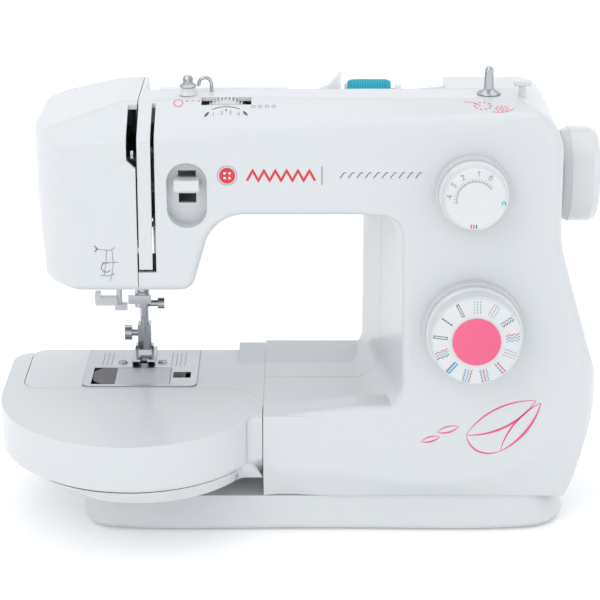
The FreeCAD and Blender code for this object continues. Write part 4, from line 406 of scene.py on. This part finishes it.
class Skin:
    """The outer surface of a CAD node, as it is met from one side."""

    def __init__(self, node: str, view: View) -> None:
        """Reads the node's triangles and keeps those that face the side.

        Args:
            node: the CAD node's name.
            view: the side.
        """
        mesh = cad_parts[node].data
        mesh.calc_loop_triangles()
        points = np.empty(len(mesh.vertices) * 3)
        mesh.vertices.foreach_get("co", points)
        corners = np.empty(len(mesh.loop_triangles) * 3, dtype=np.int64)
        mesh.loop_triangles.foreach_get("vertices", corners)
        tri = points.reshape(-1, 3)[corners.reshape(-1, 3)]
        normal = np.cross(tri[:, 1] - tri[:, 0], tri[:, 2] - tri[:, 0])
        normal /= np.maximum(np.linalg.norm(normal, axis=1, keepdims=True), 1e-15)
        self.across, self.up, self.depth, self.sign = view.value
        facing = normal[:, self.depth] * self.sign > 0.05
        self.tri, self.normal = tri[facing], normal[facing]

    def place(self, flat: np.ndarray) -> tuple[np.ndarray, np.ndarray]:
        """Drops flat points onto the surface, by barycentric weights in each triangle's shadow.

        Args:
            flat: (n, 2) across and up positions in millimetres.

        Returns:
            The (n, 3) points in metres and their normals. A point that misses the surface is an error.
        """
        want = flat * MM
        low, high = want.min(axis=0), want.max(axis=0)
        shadow = self.tri[:, :, [self.across, self.up]]
        near = (shadow.max(axis=1) >= low).all(axis=1) & (shadow.min(axis=1) <= high).all(axis=1)
        tri, normal, shadow = self.tri[near], self.normal[near], shadow[near]
        a, b, c = shadow[:, 0], shadow[:, 1], shadow[:, 2]
        area = (b[:, 0] - a[:, 0]) * (c[:, 1] - a[:, 1]) - (b[:, 1] - a[:, 1]) * (c[:, 0] - a[:, 0])
        area = np.where(np.abs(area) < 1e-16, 1e-16, area)
        px, py = want[:, 0][:, None], want[:, 1][:, None]
        w1 = ((px - a[:, 0]) * (c[:, 1] - a[:, 1]) - (py - a[:, 1]) * (c[:, 0] - a[:, 0])) / area
        w2 = ((b[:, 0] - a[:, 0]) * (py - a[:, 1]) - (b[:, 1] - a[:, 1]) * (px - a[:, 0])) / area
        inside = (w1 > -1e-4) & (w2 > -1e-4) & (w1 + w2 < 1 + 1e-4)
        deep = tri[:, :, self.depth]
        reach = (deep[:, 0] + w1 * (deep[:, 1] - deep[:, 0]) + w2 * (deep[:, 2] - deep[:, 0])) * self.sign
        reach = np.where(inside, reach, -np.inf)
        best = reach.argmax(axis=1)
        found = reach[np.arange(len(want)), best]
        if not np.isfinite(found).all():
            missed = flat[~np.isfinite(found)]
            raise ValueError(f"a mark runs off the surface that it lies on, at {missed[:6].tolist()}")
        points = np.zeros((len(want), 3))
        points[:, self.across], points[:, self.up] = want[:, 0], want[:, 1]
        points[:, self.depth] = found * self.sign
        return points, normal[best]


@dataclass(frozen=True)
class FlatFace:
    """A flat face that marks are printed on."""

    centre: tuple[float, float, float]
    right: tuple[float, float, float]
    up: tuple[float, float, float]

    def place(self, flat: np.ndarray) -> tuple[np.ndarray, np.ndarray]:
        """Lays flat points on the face: the centre, plus across times right, plus up times the face's up.

        Args:
            flat: (n, 2) across and up positions in millimetres.

        Returns:
            The (n, 3) points in metres and their normals.
        """
        right, up = np.array(self.right), np.array(self.up)
        points = np.array(self.centre) + (flat[:, :1] * right + flat[:, 1:] * up) * MM
        return points, np.repeat(np.cross(right, up)[None, :], len(flat), axis=0)


# ---------------------------------------------------------------- flat shapes, in millimetres
Edges = tuple[np.ndarray, np.ndarray]


def resampled(path: np.ndarray, step: float) -> np.ndarray:
    """Spaces a path's points evenly along its runs.

    Args:
        path: (n, 2) points.
        step: the longest gap that is left.

    Returns:
        The path with its own corners and the points between them.
    """
    runs = np.hypot(*np.diff(path, axis=0).T)
    counts = np.maximum(np.ceil(runs / step).astype(int), 1)
    starts = np.repeat(path[:-1], counts, axis=0)
    moves = np.repeat(np.diff(path, axis=0) / counts[:, None], counts, axis=0)
    index = np.concatenate([np.arange(n) for n in counts])
    return np.concatenate([starts + moves * index[:, None], path[-1:]])


def ribbon(path: np.ndarray, width: float, taper: bool = False, step: float = 1.5) -> Edges:
    """The two edges of a line of even width: each point moved half a width along the path's mitred normal.

    Args:
        path: (n, 2) points.
        width: the line's width.
        taper: whether the width falls to a fifth at both ends, as sin of the way along.
        step: the longest gap between points.

    Returns:
        The left and right edges.
    """
    line = resampled(np.asarray(path, dtype=float), step)
    ahead = np.diff(line, axis=0)
    ahead /= np.maximum(np.linalg.norm(ahead, axis=1, keepdims=True), 1e-9)
    turn = np.concatenate([ahead[:1], ahead]) + np.concatenate([ahead, ahead[-1:]])
    turn /= np.maximum(np.linalg.norm(turn, axis=1, keepdims=True), 1e-9)
    normal = np.stack([-turn[:, 1], turn[:, 0]], axis=1)
    mitre = np.abs((np.concatenate([ahead, ahead[-1:]]) * turn).sum(axis=1))
    half = width / 2 / np.maximum(mitre, 0.6)
    if taper:
        half = half * (0.2 + 0.8 * np.sin(np.linspace(0, math.pi, len(line))))
    return line + normal * half[:, None], line - normal * half[:, None]


def arc(cx: float, cy: float, r: float, start_deg: float, end_deg: float, n: int = 24) -> np.ndarray:
    """Points round a circle: the centre plus r times cosine and sine of the angle.

    Args:
        cx: the centre across.
        cy: the centre up.
        r: the radius.
        start_deg: the first angle, to the left from the right.
        end_deg: the last angle.
        n: how many points.

    Returns:
        The (n, 2) points.
    """
    a = np.radians(np.linspace(start_deg, end_deg, n))
    return np.stack([cx + r * np.cos(a), cy + r * np.sin(a)], axis=1)


def disc(cx: float, cy: float, r: float, n: int = 25) -> Edges:
    """A filled circle between its upper and lower half.

    Args:
        cx: the centre across.
        cy: the centre up.
        r: the radius.
        n: how many points each half has.

    Returns:
        The upper and lower edges.
    """
    a = np.linspace(0.02, math.pi - 0.02, n)
    x, y = cx + r * np.cos(a), r * np.sin(a)
    return np.stack([x, cy + y], axis=1), np.stack([x, cy - y], axis=1)


def curve(
    p0: Sequence[float], p1: Sequence[float], p2: Sequence[float], p3: Sequence[float], n: int = 24
) -> np.ndarray:
    """A cubic Bezier curve: the four points weighted by the cubic Bernstein terms of t.

    Args:
        p0: where it starts.
        p1: what its start is pulled towards.
        p2: what its end is pulled towards.
        p3: where it ends.
        n: how many points.

    Returns:
        The (n, 2) points.
    """
    t = np.linspace(0, 1, n)[:, None]
    a, b, c, d = (np.asarray(p, dtype=float) for p in (p0, p1, p2, p3))
    return (1 - t) ** 3 * a + 3 * (1 - t) ** 2 * t * b + 3 * (1 - t) * t**2 * c + t**3 * d


def turned(path: np.ndarray, degrees: float, centre: Sequence[float] = (0.0, 0.0)) -> np.ndarray:
    """Turns flat points about a centre, by the two-by-two rotation of the angle.

    Args:
        path: (n, 2) points.
        degrees: how far, to the left.
        centre: what they turn about.

    Returns:
        The turned points.
    """
    a = math.radians(degrees)
    spin = np.array([[math.cos(a), math.sin(a)], [-math.sin(a), math.cos(a)]])
    return (np.asarray(path, dtype=float) - centre) @ spin + centre


DIGITS: dict[str, tuple[tuple[float, float], ...]] = {
    "0": ((0.3, 0.0), (0.05, 0.25), (0.05, 0.75), (0.3, 1.0), (0.55, 0.75), (0.55, 0.25), (0.3, 0.0)),
    "1": ((0.12, 0.75), (0.35, 1.0), (0.35, 0.0)),
    "2": ((0.05, 0.8), (0.25, 1.0), (0.5, 0.9), (0.5, 0.6), (0.05, 0.0), (0.58, 0.0)),
    "3": ((0.05, 1.0), (0.55, 1.0), (0.28, 0.6), (0.55, 0.35), (0.45, 0.05), (0.2, 0.0), (0.03, 0.15)),
    "4": ((0.45, 0.0), (0.45, 1.0), (0.03, 0.3), (0.62, 0.3)),
}


def numeral(digit: str, centre: Sequence[float], height: float, degrees: float = 0.0) -> np.ndarray:
    """The stroke of one digit, centred and turned.

    Args:
        digit: a key of DIGITS.
        centre: its middle.
        height: its height.
        degrees: how far it is turned to the left.

    Returns:
        The path of its stroke.
    """
    stroke = (np.array(DIGITS[digit]) - (0.3, 0.5)) * height
    return turned(stroke, degrees) + centre


@dataclass
class Prints:
    """Thin layers of ink, or raised marks, on one surface of one body."""

    name: str
    surface: Skin | FlatFace
    body: str
    lift_mm: float = 0.1
    sink_mm: float = 0.12
    across: int = 2
    layers: dict[Finish, list[Edges]] = field(default_factory=dict)

    def add(self, finish: Finish, *shapes: Edges) -> "Prints":
        """Puts more shapes into the layer of one finish.

        Args:
            finish: the ink.
            shapes: pairs of edges.

        Returns:
            These prints.
        """
        self.layers.setdefault(finish, []).extend(shapes)
        return self

    def layer_mesh(self, name: str, shapes: Sequence[Edges]) -> bpy.types.Object:
        """Builds closed slabs: point(i, t) = left(i) (1 - t) + right(i) t, above and below the surface.

        Args:
            name: the piece's name.
            shapes: pairs of edges.

        Returns:
            One object with all the slabs.
        """
        points, faces, start = [], [], 0
        t = np.linspace(0, 1, self.across)[None, :, None]
        for left, right in shapes:
            flat = left[:, None, :] * (1 - t) + right[:, None, :] * t
            rows = len(flat)
            on, normal = self.surface.place(flat.reshape(-1, 2))
            over = (on + normal * self.lift_mm * MM).reshape(rows, self.across, 3)
            under = (on - normal * self.sink_mm * MM).reshape(rows, self.across, 3)
            ring = np.concatenate([over, under[:, ::-1]], axis=1)
            around = 2 * self.across
            sides = lattice_faces(rows, around, False, True)
            k = np.arange(self.across - 1)
            cap = np.stack([k, k + 1, around - 2 - k, around - 1 - k], axis=1)
            faces.append(np.concatenate([sides, cap, cap[:, ::-1] + (rows - 1) * around]) + start)
            points.append(ring.reshape(-1, 3))
            start += rows * around
        return tidy(make_mesh(name, np.concatenate(points), np.concatenate(faces), smooth=False))

    def build(self) -> None:
        """Makes one piece for each finish and rides it on the body."""
        for number, (finish, shapes) in enumerate(self.layers.items()):
            piece = self.layer_mesh(f"{self.name}_{number}", shapes)
            finish.dress(piece)
            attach(piece, self.body)
            LOG.info("%s: %d shapes in %s", piece.name, len(shapes), finish.name)


# ---------------------------------------------------------------- the machine's printed marks
@dataclass
class CasingPrints:
    """The decoration and the guides that are printed on the casing."""

    arm_z: float = 239.7
    badge_x: float = -43.1
    badge_r: float = 6.3
    stitch_left: float = -30.8
    stitch_right: float = 11.3
    bar_x: float = 15.6
    fine_left: float = 26.7
    fine_right: float = 78.7
    tension_x: float = -44.0
    scale_y: float = -18.0
    scale_r: float = 18.5

    def arm_motif(self) -> None:
        """A button, a running zigzag, a bar and a row of small stitches along the arm."""
        z = self.arm_z
        steps = np.linspace(self.stitch_left, self.stitch_right, 13)
        heights = np.where(np.arange(13) % 2 == 0, z - 3.2, z + 3.2)
        zigzag = np.stack([steps, heights], axis=1)
        prints = Prints("arm_motif", Skin("front_cover", View.FRONT), "machine")
        prints.add(GREY_INK, ribbon(arc(self.badge_x, z, self.badge_r - 0.3, 0, 360, 49), 0.45))
        prints.add(RED_INK, disc(self.badge_x, z, self.badge_r - 1.3))
        prints.add(RED_INK, ribbon(zigzag, 1.5))
        prints.add(DARK_INK, ribbon(np.array([(self.bar_x, z - 5.8), (self.bar_x, z + 5.6)]), 0.45))
        for i, x in enumerate(np.arange(self.fine_left, self.fine_right, 5.2)):
            prints.add(DARK_INK, ribbon(np.array([(x, z - 1.6), (x + 2.6, z + 1.8)]), 0.5))
            prints.add(DARK_INK, ribbon(np.array([(x + 2.6, z + 1.8), (x + 3.9, z + 1.8)]), 0.5))
        prints.build()
        holes = Prints("arm_button_holes", Skin("front_cover", View.FRONT), "machine", lift_mm=0.2)
        for dx, dz in ((-1.5, -1.5), (1.5, -1.5), (-1.5, 1.5), (1.5, 1.5)):
            holes.add(WHITE_INK, disc(self.badge_x + dx, z + dz, 0.75, 15))
        holes.build()

    def leaves(self) -> None:
        """Four outlined leaves low on the column, each a pair of curved sides that meet at a tip."""
        prints = Prints("leaf_outlines", Skin("front_cover", View.FRONT), "machine")
        for (x0, z0), (x1, z1), swell, width in (
            ((108.7, 69.8), (152.9, 93.0), 9.0, 1.1), ((131.0, 58.8), (156.1, 91.5), 6.0, 1.2),
            ((90.0, 71.6), (104.1, 75.6), 2.6, 0.8), ((79.8, 65.3), (92.0, 68.7), 2.2, 0.8),
        ):
            dx, dz = x1 - x0, z1 - z0
            size = math.hypot(dx, dz)
            nx, nz = -dz / size * swell, dx / size * swell
            for side, thick in ((1, width), (-1, width * 1.4)):
                near = (x0 + dx * 0.3 + side * nx, z0 + dz * 0.3 + side * nz)
                far = (x0 + dx * 0.7 + side * nx, z0 + dz * 0.7 + side * nz)
                prints.add(PINK_INK, ribbon(curve((x0, z0), near, far, (x1, z1)), thick, taper=True))
        stalk = curve((108.7, 69.8), (112, 56), (124, 56), (131.0, 58.8))
        prints.add(PINK_INK, ribbon(stalk, 1.1, taper=True))
        prints.build()

    def tension_scale(self) -> None:
        """The curved scale in front of the tension wheel, with its end arrows and a row of rings."""
        prints = Prints("tension_scale", Skin("front_cover", View.TOP), "machine")
        x = self.tension_x
        prints.add(DARK_INK, ribbon(arc(x, self.scale_y, self.scale_r, 118, 62, 20), 0.5))
        for side in (-1, 1):
            tip = np.array([(x + side * 10.6, -3.4), (x + side * 13.4, -7.4)])
            prints.add(DARK_INK, ribbon(tip, 1.8, taper=True))
        prints.add(DARK_INK, ribbon(np.array([(x, -1.6), (x, -3.2)]), 0.8))
        for step in range(4):
            prints.add(GREY_INK, ribbon(arc(x + 17.0 + step * 4.2, 0.3, 1.1, 0, 360, 21), 0.4))
        for step, mark in enumerate("1234"):
            place = (x - 7.8 + step * 5.2, -5.6 + (1.2 if step in (1, 2) else 0.0))
            prints.add(GREY_INK, ribbon(numeral(mark, place, 2.6), 0.35))
        prints.build()

    def winding_guides(self) -> None:
        """Dotted guides for winding the bobbin: by the spindle and by the post."""
        prints = Prints("winding_guides", Skin("front_cover", View.TOP), "machine")
        for cx, cy, r, n in ((115.5, -3.5, 5.0, 10), (127.0, -8.0, 3.6, 8)):
            for a in np.linspace(0, 2 * math.pi, n, endpoint=False):
                prints.add(PINK_INK, disc(cx + r * math.cos(a), cy + r * math.sin(a), 0.75, 11))
        prints.add(PINK_INK, ribbon(curve((104, 2), (109, 3), (112, 0), (114, -4)), 0.6))
        prints.add(PINK_INK, ribbon(curve((121, -12), (126, -15), (131, -13), (134, -9)), 0.6))
        prints.add(PINK_INK, ribbon(arc(127.0, -8.0, 1.4, 0, 360, 21), 0.5))
        prints.add(PINK_INK, ribbon(arc(-74.0, 4.0, 2.8, 0, 360, 25), 0.6))
        for k in range(3):
            prints.add(PINK_INK, ribbon(np.array([(-69.5 + 3.6 * k, 5.4), (-67.6 + 3.6 * k, 5.6)]), 0.7))
        prints.build()

    def thread_guide(self) -> None:
        """A line drawing of the thread's way down to the needle, low on the needle-end cover."""
        prints = Prints("thread_guide", Skin("face_cover", View.FRONT), "machine")
        for path in (
            [(-126, 193), (-117, 192), (-113.5, 194)],
            [(-119, 192), (-119.5, 184), (-121, 176)],
            [(-115.5, 192.5), (-115, 184), (-116, 176), (-117.5, 172)],
            [(-123.5, 176), (-118, 175.5), (-114, 177)],
            [(-122, 184), (-112, 184.5)],
        ):
            prints.add(GREY_INK, ribbon(np.array(path, dtype=float), 0.45))
        prints.add(DARK_INK, ribbon(arc(-119.5, 181, 3.0, 60, 330, 20), 0.4))
        prints.add(DARK_INK, ribbon(np.array([(-126.5, 195), (-124.6, 193), (-126.5, 191)]), 0.5))
        prints.build()

    def build(self) -> None:
        """Prints everything on the casing."""
        self.arm_motif()
        self.leaves()
        self.tension_scale()
        self.winding_guides()
        self.thread_guide()


class Icon(Enum):
    """The kinds of stitch that the pattern dial shows."""

    STRAIGHT = "straight"
    ZIGZAG = "zigzag"
    BOX = "box"
    WAVE = "wave"
    LADDER = "ladder"
    CROSS = "cross"


@dataclass
class DialPrints:
    """The numbers and stitch pictures on the two dials."""

    slope: float = 17.0 / 222.0
    crease_y: float = -38.0
    crease_z: float = 50.0
    length_x: float = 109.0
    length_z: float = 229.5
    length_proud: float = 23.4
    pattern_x: float = 111.5
    pattern_z: float = 140.5
    pattern_proud: float = 26.4
    icon_r: float = 22.6

    def face(self, x: float, z: float, proud: float) -> FlatFace:
        """The face of a dial on the leaning front: a point of the front moved along its normal.

        Args:
            x: the dial's axis across, in millimetres.
            z: the axis's height on the front.
            proud: how far the face stands off the front.

        Returns:
            The face that marks lie on.
        """
        size = math.hypot(1.0, self.slope)
        normal = np.array([0.0, -1.0, self.slope]) / size
        foot = np.array([x, self.crease_y + (z - self.crease_z) * self.slope, z])
        centre = (foot + normal * proud) * MM
        return FlatFace(tuple(centre), (1.0, 0.0, 0.0), (0.0, self.slope / size, 1.0 / size))

    def length_dial(self) -> None:
        """Numbers from 4 to 0 round the upper left, an arc under them and two coloured marks."""
        face = self.face(self.length_x, self.length_z, self.length_proud)
        prints = Prints("length_scale", face, "length_dial", lift_mm=0.08, sink_mm=0.05)
        for mark, degrees in (("4", 172), ("3", 146), ("2", 120), ("1", 85), ("0", 58)):
            a = math.radians(degrees)
            place = (16.4 * math.cos(a), 16.4 * math.sin(a))
            prints.add(GREY_INK, ribbon(numeral(mark, place, 3.2, degrees - 90), 0.42, step=3.0))
        prints.add(GREY_INK, ribbon(arc(0, 0, 11.6, 190, 35, 40), 0.5))
        for degrees in np.linspace(186, 40, 18):
            prints.add(GREY_INK, ribbon(turned(np.array([(12.2, 0.0), (13.4, 0.0)]), degrees), 0.35))
        prints.add(TEAL_INK, ribbon(arc(17.2, -2.2, 1.2, -60, 240, 14), 0.6))
        for x, ink, width in ((-2.4, RED_INK, 0.7), (-0.8, RED_INK, 0.7), (0.8, DARK_INK, 0.6)):
            prints.add(ink, ribbon(np.array([(x, -17.6), (x, -15.2)]), width))
        prints.build()

    def icon(self, kind: Icon, degrees: float, inks: Sequence[Finish], prints: Prints) -> None:
        """Draws one stitch picture upright at the top of the dial, then turns it into its place.

        Args:
            kind: the picture.
            degrees: its place round the dial, to the left from the top.
            inks: the finishes of its lines, one for each row.
            prints: where the shapes go.
        """
        r0, r1 = self.icon_r - 4.2, self.icon_r + 4.2
        gap = 1.9
        for row, ink in enumerate(inks):
            x = (row - (len(inks) - 1) / 2) * gap
            levels = np.linspace(r0, r1, 9)
            side = np.where(np.arange(9) % 2 == 0, -0.5, 0.5)
            if kind is Icon.STRAIGHT:
                paths = [np.array([(x, a), (x, a + 1.0)]) for a in np.arange(r0, r1, 1.7)]
            elif kind is Icon.ZIGZAG:
                paths = [np.stack([x + side, levels], axis=1)]
            elif kind is Icon.WAVE:
                fine = np.linspace(r0, r1, 33)
                paths = [np.stack([x + 0.55 * np.sin((fine - r0) * 2.2), fine], axis=1)]
            elif kind is Icon.LADDER:
                paths = [np.array([(x, r0), (x, r1)])]
                paths += [np.array([(x - 0.6, a), (x + 0.6, a)]) for a in levels[1:-1:2]]
            elif kind is Icon.CROSS:
                paths = [np.stack([x + side, levels], axis=1), np.stack([x - side, levels], axis=1)]
            else:
                left, right = x - 0.7, x + 0.7
                paths = [np.array([(left, r0), (right, r0), (right, r1), (left, r1), (left, r0)])]
            for path in paths:
                prints.add(ink, ribbon(turned(path, degrees), 0.42, step=4.0))

    def pattern_dial(self) -> None:
        """Thirteen stitch pictures round the rim."""
        face = self.face(self.pattern_x, self.pattern_z, self.pattern_proud)
        prints = Prints("stitch_pictures", face, "pattern_dial", lift_mm=0.08, sink_mm=0.05)
        rows: tuple[tuple[Icon, tuple[Finish, ...]], ...] = (
            (Icon.STRAIGHT, (TEAL_INK, RED_INK, BLUE_INK)), (Icon.BOX, (DARK_INK,)),
            (Icon.LADDER, (DARK_INK,)), (Icon.BOX, (DARK_INK,)), (Icon.WAVE, (DARK_INK, TEAL_INK, RED_INK)),
            (Icon.CROSS, (TEAL_INK, BLUE_INK)), (Icon.ZIGZAG, (RED_INK, TEAL_INK, BLUE_INK)),
            (Icon.ZIGZAG, (TEAL_INK, RED_INK, BLUE_INK)), (Icon.LADDER, (RED_INK, BLUE_INK)),
            (Icon.STRAIGHT, (BLUE_INK, RED_INK, TEAL_INK)), (Icon.WAVE, (RED_INK, BLUE_INK, TEAL_INK)),
            (Icon.ZIGZAG, (BLUE_INK, DARK_INK)), (Icon.STRAIGHT, (RED_INK, BLUE_INK, TEAL_INK)),
        )
        for number, (kind, inks) in enumerate(rows):
            self.icon(kind, number * 360 / len(rows), inks, prints)
        prints.build()

    def build(self) -> None:
        """Prints both dials."""
        self.length_dial()
        self.pattern_dial()


@dataclass
class PlatePrints:
    """The dark seam guides on the needle plate."""

    needle_x: float = -104.5
    rear_y: float = 72.0
    line: float = 0.35
    right_front_y: float = 48.0
    left_front_y: float = 50.0
    right_widths: tuple[float, ...] = (19.0, 22.0, 25.0, 28.0)
    left_widths: tuple[float, ...] = (-22.0, -25.0, -28.0)

    def build(self) -> None:
        """Lines that run from front to rear at the usual seam widths."""
        prints = Prints("seam_guides", Skin("needle_plate", View.TOP), "machine", lift_mm=0.03)
        right, left = (self.right_widths, self.right_front_y), (self.left_widths, self.left_front_y)
        for widths, front_y in (right, left):
            for width in widths:
                x = self.needle_x + width
                prints.add(DARK_INK, ribbon(np.array([(x, front_y), (x, self.rear_y)]), self.line))
        prints.build()


# ---------------------------------------------------------------- pieces with a finer surface
@dataclass
class WoundThread:
    """The thread on its reel, wound side by side."""

    left_x: float = 33.0
    right_x: float = 61.0
    axis_y: float = 60.0
    axis_z: float = 268.0
    core_r: float = 6.1
    outer_r: float = 11.8
    pitch: float = 1.0
    depth: float = 0.28
    around: int = 72

    def surface(self) -> bpy.types.Object:
        """A barrel whose radius is the thread's envelope plus depth times the sine of turn + x / pitch.

        Returns:
            The closed surface, from the core at one end to the core at the other.
        """
        x = np.concatenate([[self.left_x], np.linspace(self.left_x, self.right_x, 225), [self.right_x]])
        along = (x - self.left_x) / (self.right_x - self.left_x)
        envelope = self.outer_r - 1.4 * (2 * along - 1) ** 8
        angle = np.linspace(0, 2 * math.pi, self.around, endpoint=False)
        phase = 2 * math.pi * x[:, None] / self.pitch + angle[None, :]
        radius = envelope[:, None] + self.depth * np.sin(phase)
        radius[0], radius[-1] = self.core_r, self.core_r
        grid = np.stack(
            [np.repeat(x[:, None], self.around, 1), self.axis_y + radius * np.cos(angle),
             self.axis_z + radius * np.sin(angle)], axis=-1,
        )
        core = grid[[-1, 0]]
        points = np.concatenate([grid, core]).reshape(-1, 3) * MM
        return tidy(make_mesh("wound_thread", points, lattice_faces(len(x) + 2, self.around, False, True)))

    def build(self) -> None:
        """Winds the thread in place of its plain solid."""
        piece = self.surface()
        TEAL_THREAD.dress(piece)
        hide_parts("spool_thread")
        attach(piece, "spool")
        LOG.info("%s wound at %.1f mm", piece.name, self.pitch)


@dataclass
class PresserSpring:
    """The coil spring round the presser bar, which shortens as the bar rises."""

    wire_r: float = 0.5
    turns: int = 9
    travel: float = 5.0
    steps: int = 400
    around: int = 12

    def surface(self) -> bpy.types.Object:
        """A wire carried along a helix: each ring lies across the coil at its own angle and height.

        Returns:
            The closed wire, with a point at each end.
        """
        low, high = np.array(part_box("presser_spring")) / MM
        centre = (low + high) / 2
        coil_r = (high[0] - low[0]) / 2 - self.wire_r
        turn = np.linspace(0, 2 * math.pi * self.turns, self.steps)[:, None]
        height = np.linspace(low[2] + self.wire_r, high[2] - self.wire_r, self.steps)[:, None]
        ring = np.linspace(0, 2 * math.pi, self.around, endpoint=False)[None, :]
        closing = np.ones((self.steps, 1))
        closing[[0, -1]] = 0.001
        radius = coil_r + self.wire_r * closing * np.cos(ring)
        grid = np.stack(
            [centre[0] + radius * np.cos(turn), centre[1] + radius * np.sin(turn),
             height + self.wire_r * closing * np.sin(ring)], axis=-1,
        )
        faces = lattice_faces(self.steps, self.around, False, True)
        return tidy(make_mesh("presser_coil", grid.reshape(-1, 3) * MM, faces), gap=5e-6)

    def build(self) -> None:
        """Winds the spring in place of its plain solid and gives it a mesh of its own."""
        piece = self.surface()
        OILED_STEEL.dress(piece)
        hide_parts("presser_spring")
        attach(piece, "machine")
        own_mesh(piece)
        LOG.info("%s of %d turns", piece.name, self.turns)


# ---------------------------------------------------------------- studio and camera
@dataclass
class Studio:
    """The pale floor, the soft lights and the camera."""

    eye: tuple[float, float, float] = (0.002, -1.180, 0.590)
    pitch_deg: float = 20.5
    lens_mm: float = 117.0
    level_r: float = 2.0
    sweep_r: float = 1.2
    around: int = 96
    aim: tuple[float, float, float] = (0.0, 0.0, 0.12)
    surround_strength: float = 0.92
    lamps: tuple[tuple[str, tuple[float, float, float], float, float], ...] = (
        ("key", (-0.9, -1.2, 1.5), 1.4, 8.5),
        ("fill", (1.5, -0.9, 1.0), 1.6, 3.0),
        ("top", (0.0, 0.3, 1.8), 1.8, 7.0),
    )

    def floor(self) -> bpy.types.Object:
        """A round floor, level near the machine, whose rim rises as a quarter circle on every side.

        Returns:
            The floor's object.
        """
        around = self.around
        s = np.concatenate([np.linspace(0.001, self.level_r, 24), self.level_r + np.linspace(0.1, 2.6, 26)])
        turn = np.clip((s - self.level_r) / self.sweep_r, 0, math.pi / 2)
        reach = np.minimum(s, self.level_r) + self.sweep_r * np.sin(turn)
        upright = np.maximum(s - self.level_r - self.sweep_r * math.pi / 2, 0)
        rise = self.sweep_r * (1 - np.cos(turn)) + upright
        angle = np.linspace(0, 2 * math.pi, around, endpoint=False)
        x, y = reach[:, None] * np.cos(angle), reach[:, None] * np.sin(angle)
        grid = np.stack([x, y, np.repeat(rise[:, None], around, 1)], axis=-1)
        faces = lattice_faces(len(s), around, False, True)
        hub = np.stack([np.zeros(around - 2, int), np.arange(1, around - 1), np.arange(2, around)], axis=1)
        hub_faces = np.concatenate([hub, hub[:, -1:]], axis=1)
        made = make_mesh("studio_floor", grid.reshape(-1, 3), np.concatenate([faces, hub_faces]))
        tidy(made)
        STUDIO_PAINT.dress(made)
        return made

    def lamp(self, name: str, place: tuple[float, float, float], size: float, watts: float) -> None:
        """One large soft light that faces the machine.

        Args:
            name: the light's name.
            place: where it stands, in metres.
            size: the side of its square.
            watts: its power.
        """
        data = bpy.data.lights.new(name, "AREA")
        data.size = size
        data.energy = watts
        lamp = bpy.data.objects.new(name, data)
        lamp.location = place
        lamp.rotation_euler = (Vector(self.aim) - Vector(place)).to_track_quat("-Z", "Y").to_euler()
        bpy.context.scene.collection.objects.link(lamp)

    def world(self) -> None:
        """An even pale surround."""
        world = bpy.data.worlds.new("studio_surround")
        world.use_nodes = True
        tree = world.node_tree
        tree.nodes.clear()
        shade = add_node(
            tree, "ShaderNodeBackground", {"Color": linear("F5F7FA"), "Strength": self.surround_strength}
        )
        out = add_node(tree, "ShaderNodeOutputWorld")
        tree.links.new(shade.outputs["Background"], out.inputs["Surface"])
        bpy.context.scene.world = world

    def camera(self) -> None:
        """The camera, level from side to side and pitched down."""
        data = bpy.data.cameras.new("view")
        data.lens = self.lens_mm
        data.sensor_width = 36.0
        data.clip_end = 20.0
        eye = bpy.data.objects.new("view", data)
        eye.location = self.eye
        eye.rotation_euler = (math.radians(90 - self.pitch_deg), 0, 0)
        bpy.context.scene.collection.objects.link(eye)
        bpy.context.scene.camera = eye

    def build(self) -> None:
        """Sets up the whole studio."""
        self.floor()
        self.world()
        for lamp in self.lamps:
            self.lamp(*lamp)
        self.camera()
        bpy.context.scene.view_settings.view_transform = "Standard"
        bpy.context.scene.view_settings.look = "None"


def main() -> None:
    """Builds every sub-assembly in order."""
    logging.basicConfig(level=logging.INFO, format="%(message)s")
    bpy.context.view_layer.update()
    Studio().build()
    dress_nodes()
    for sub_assembly in (CasingPrints(), DialPrints(), PlatePrints(), WoundThread(), PresserSpring()):
        sub_assembly.build()


if __name__ == "__main__":
    main()
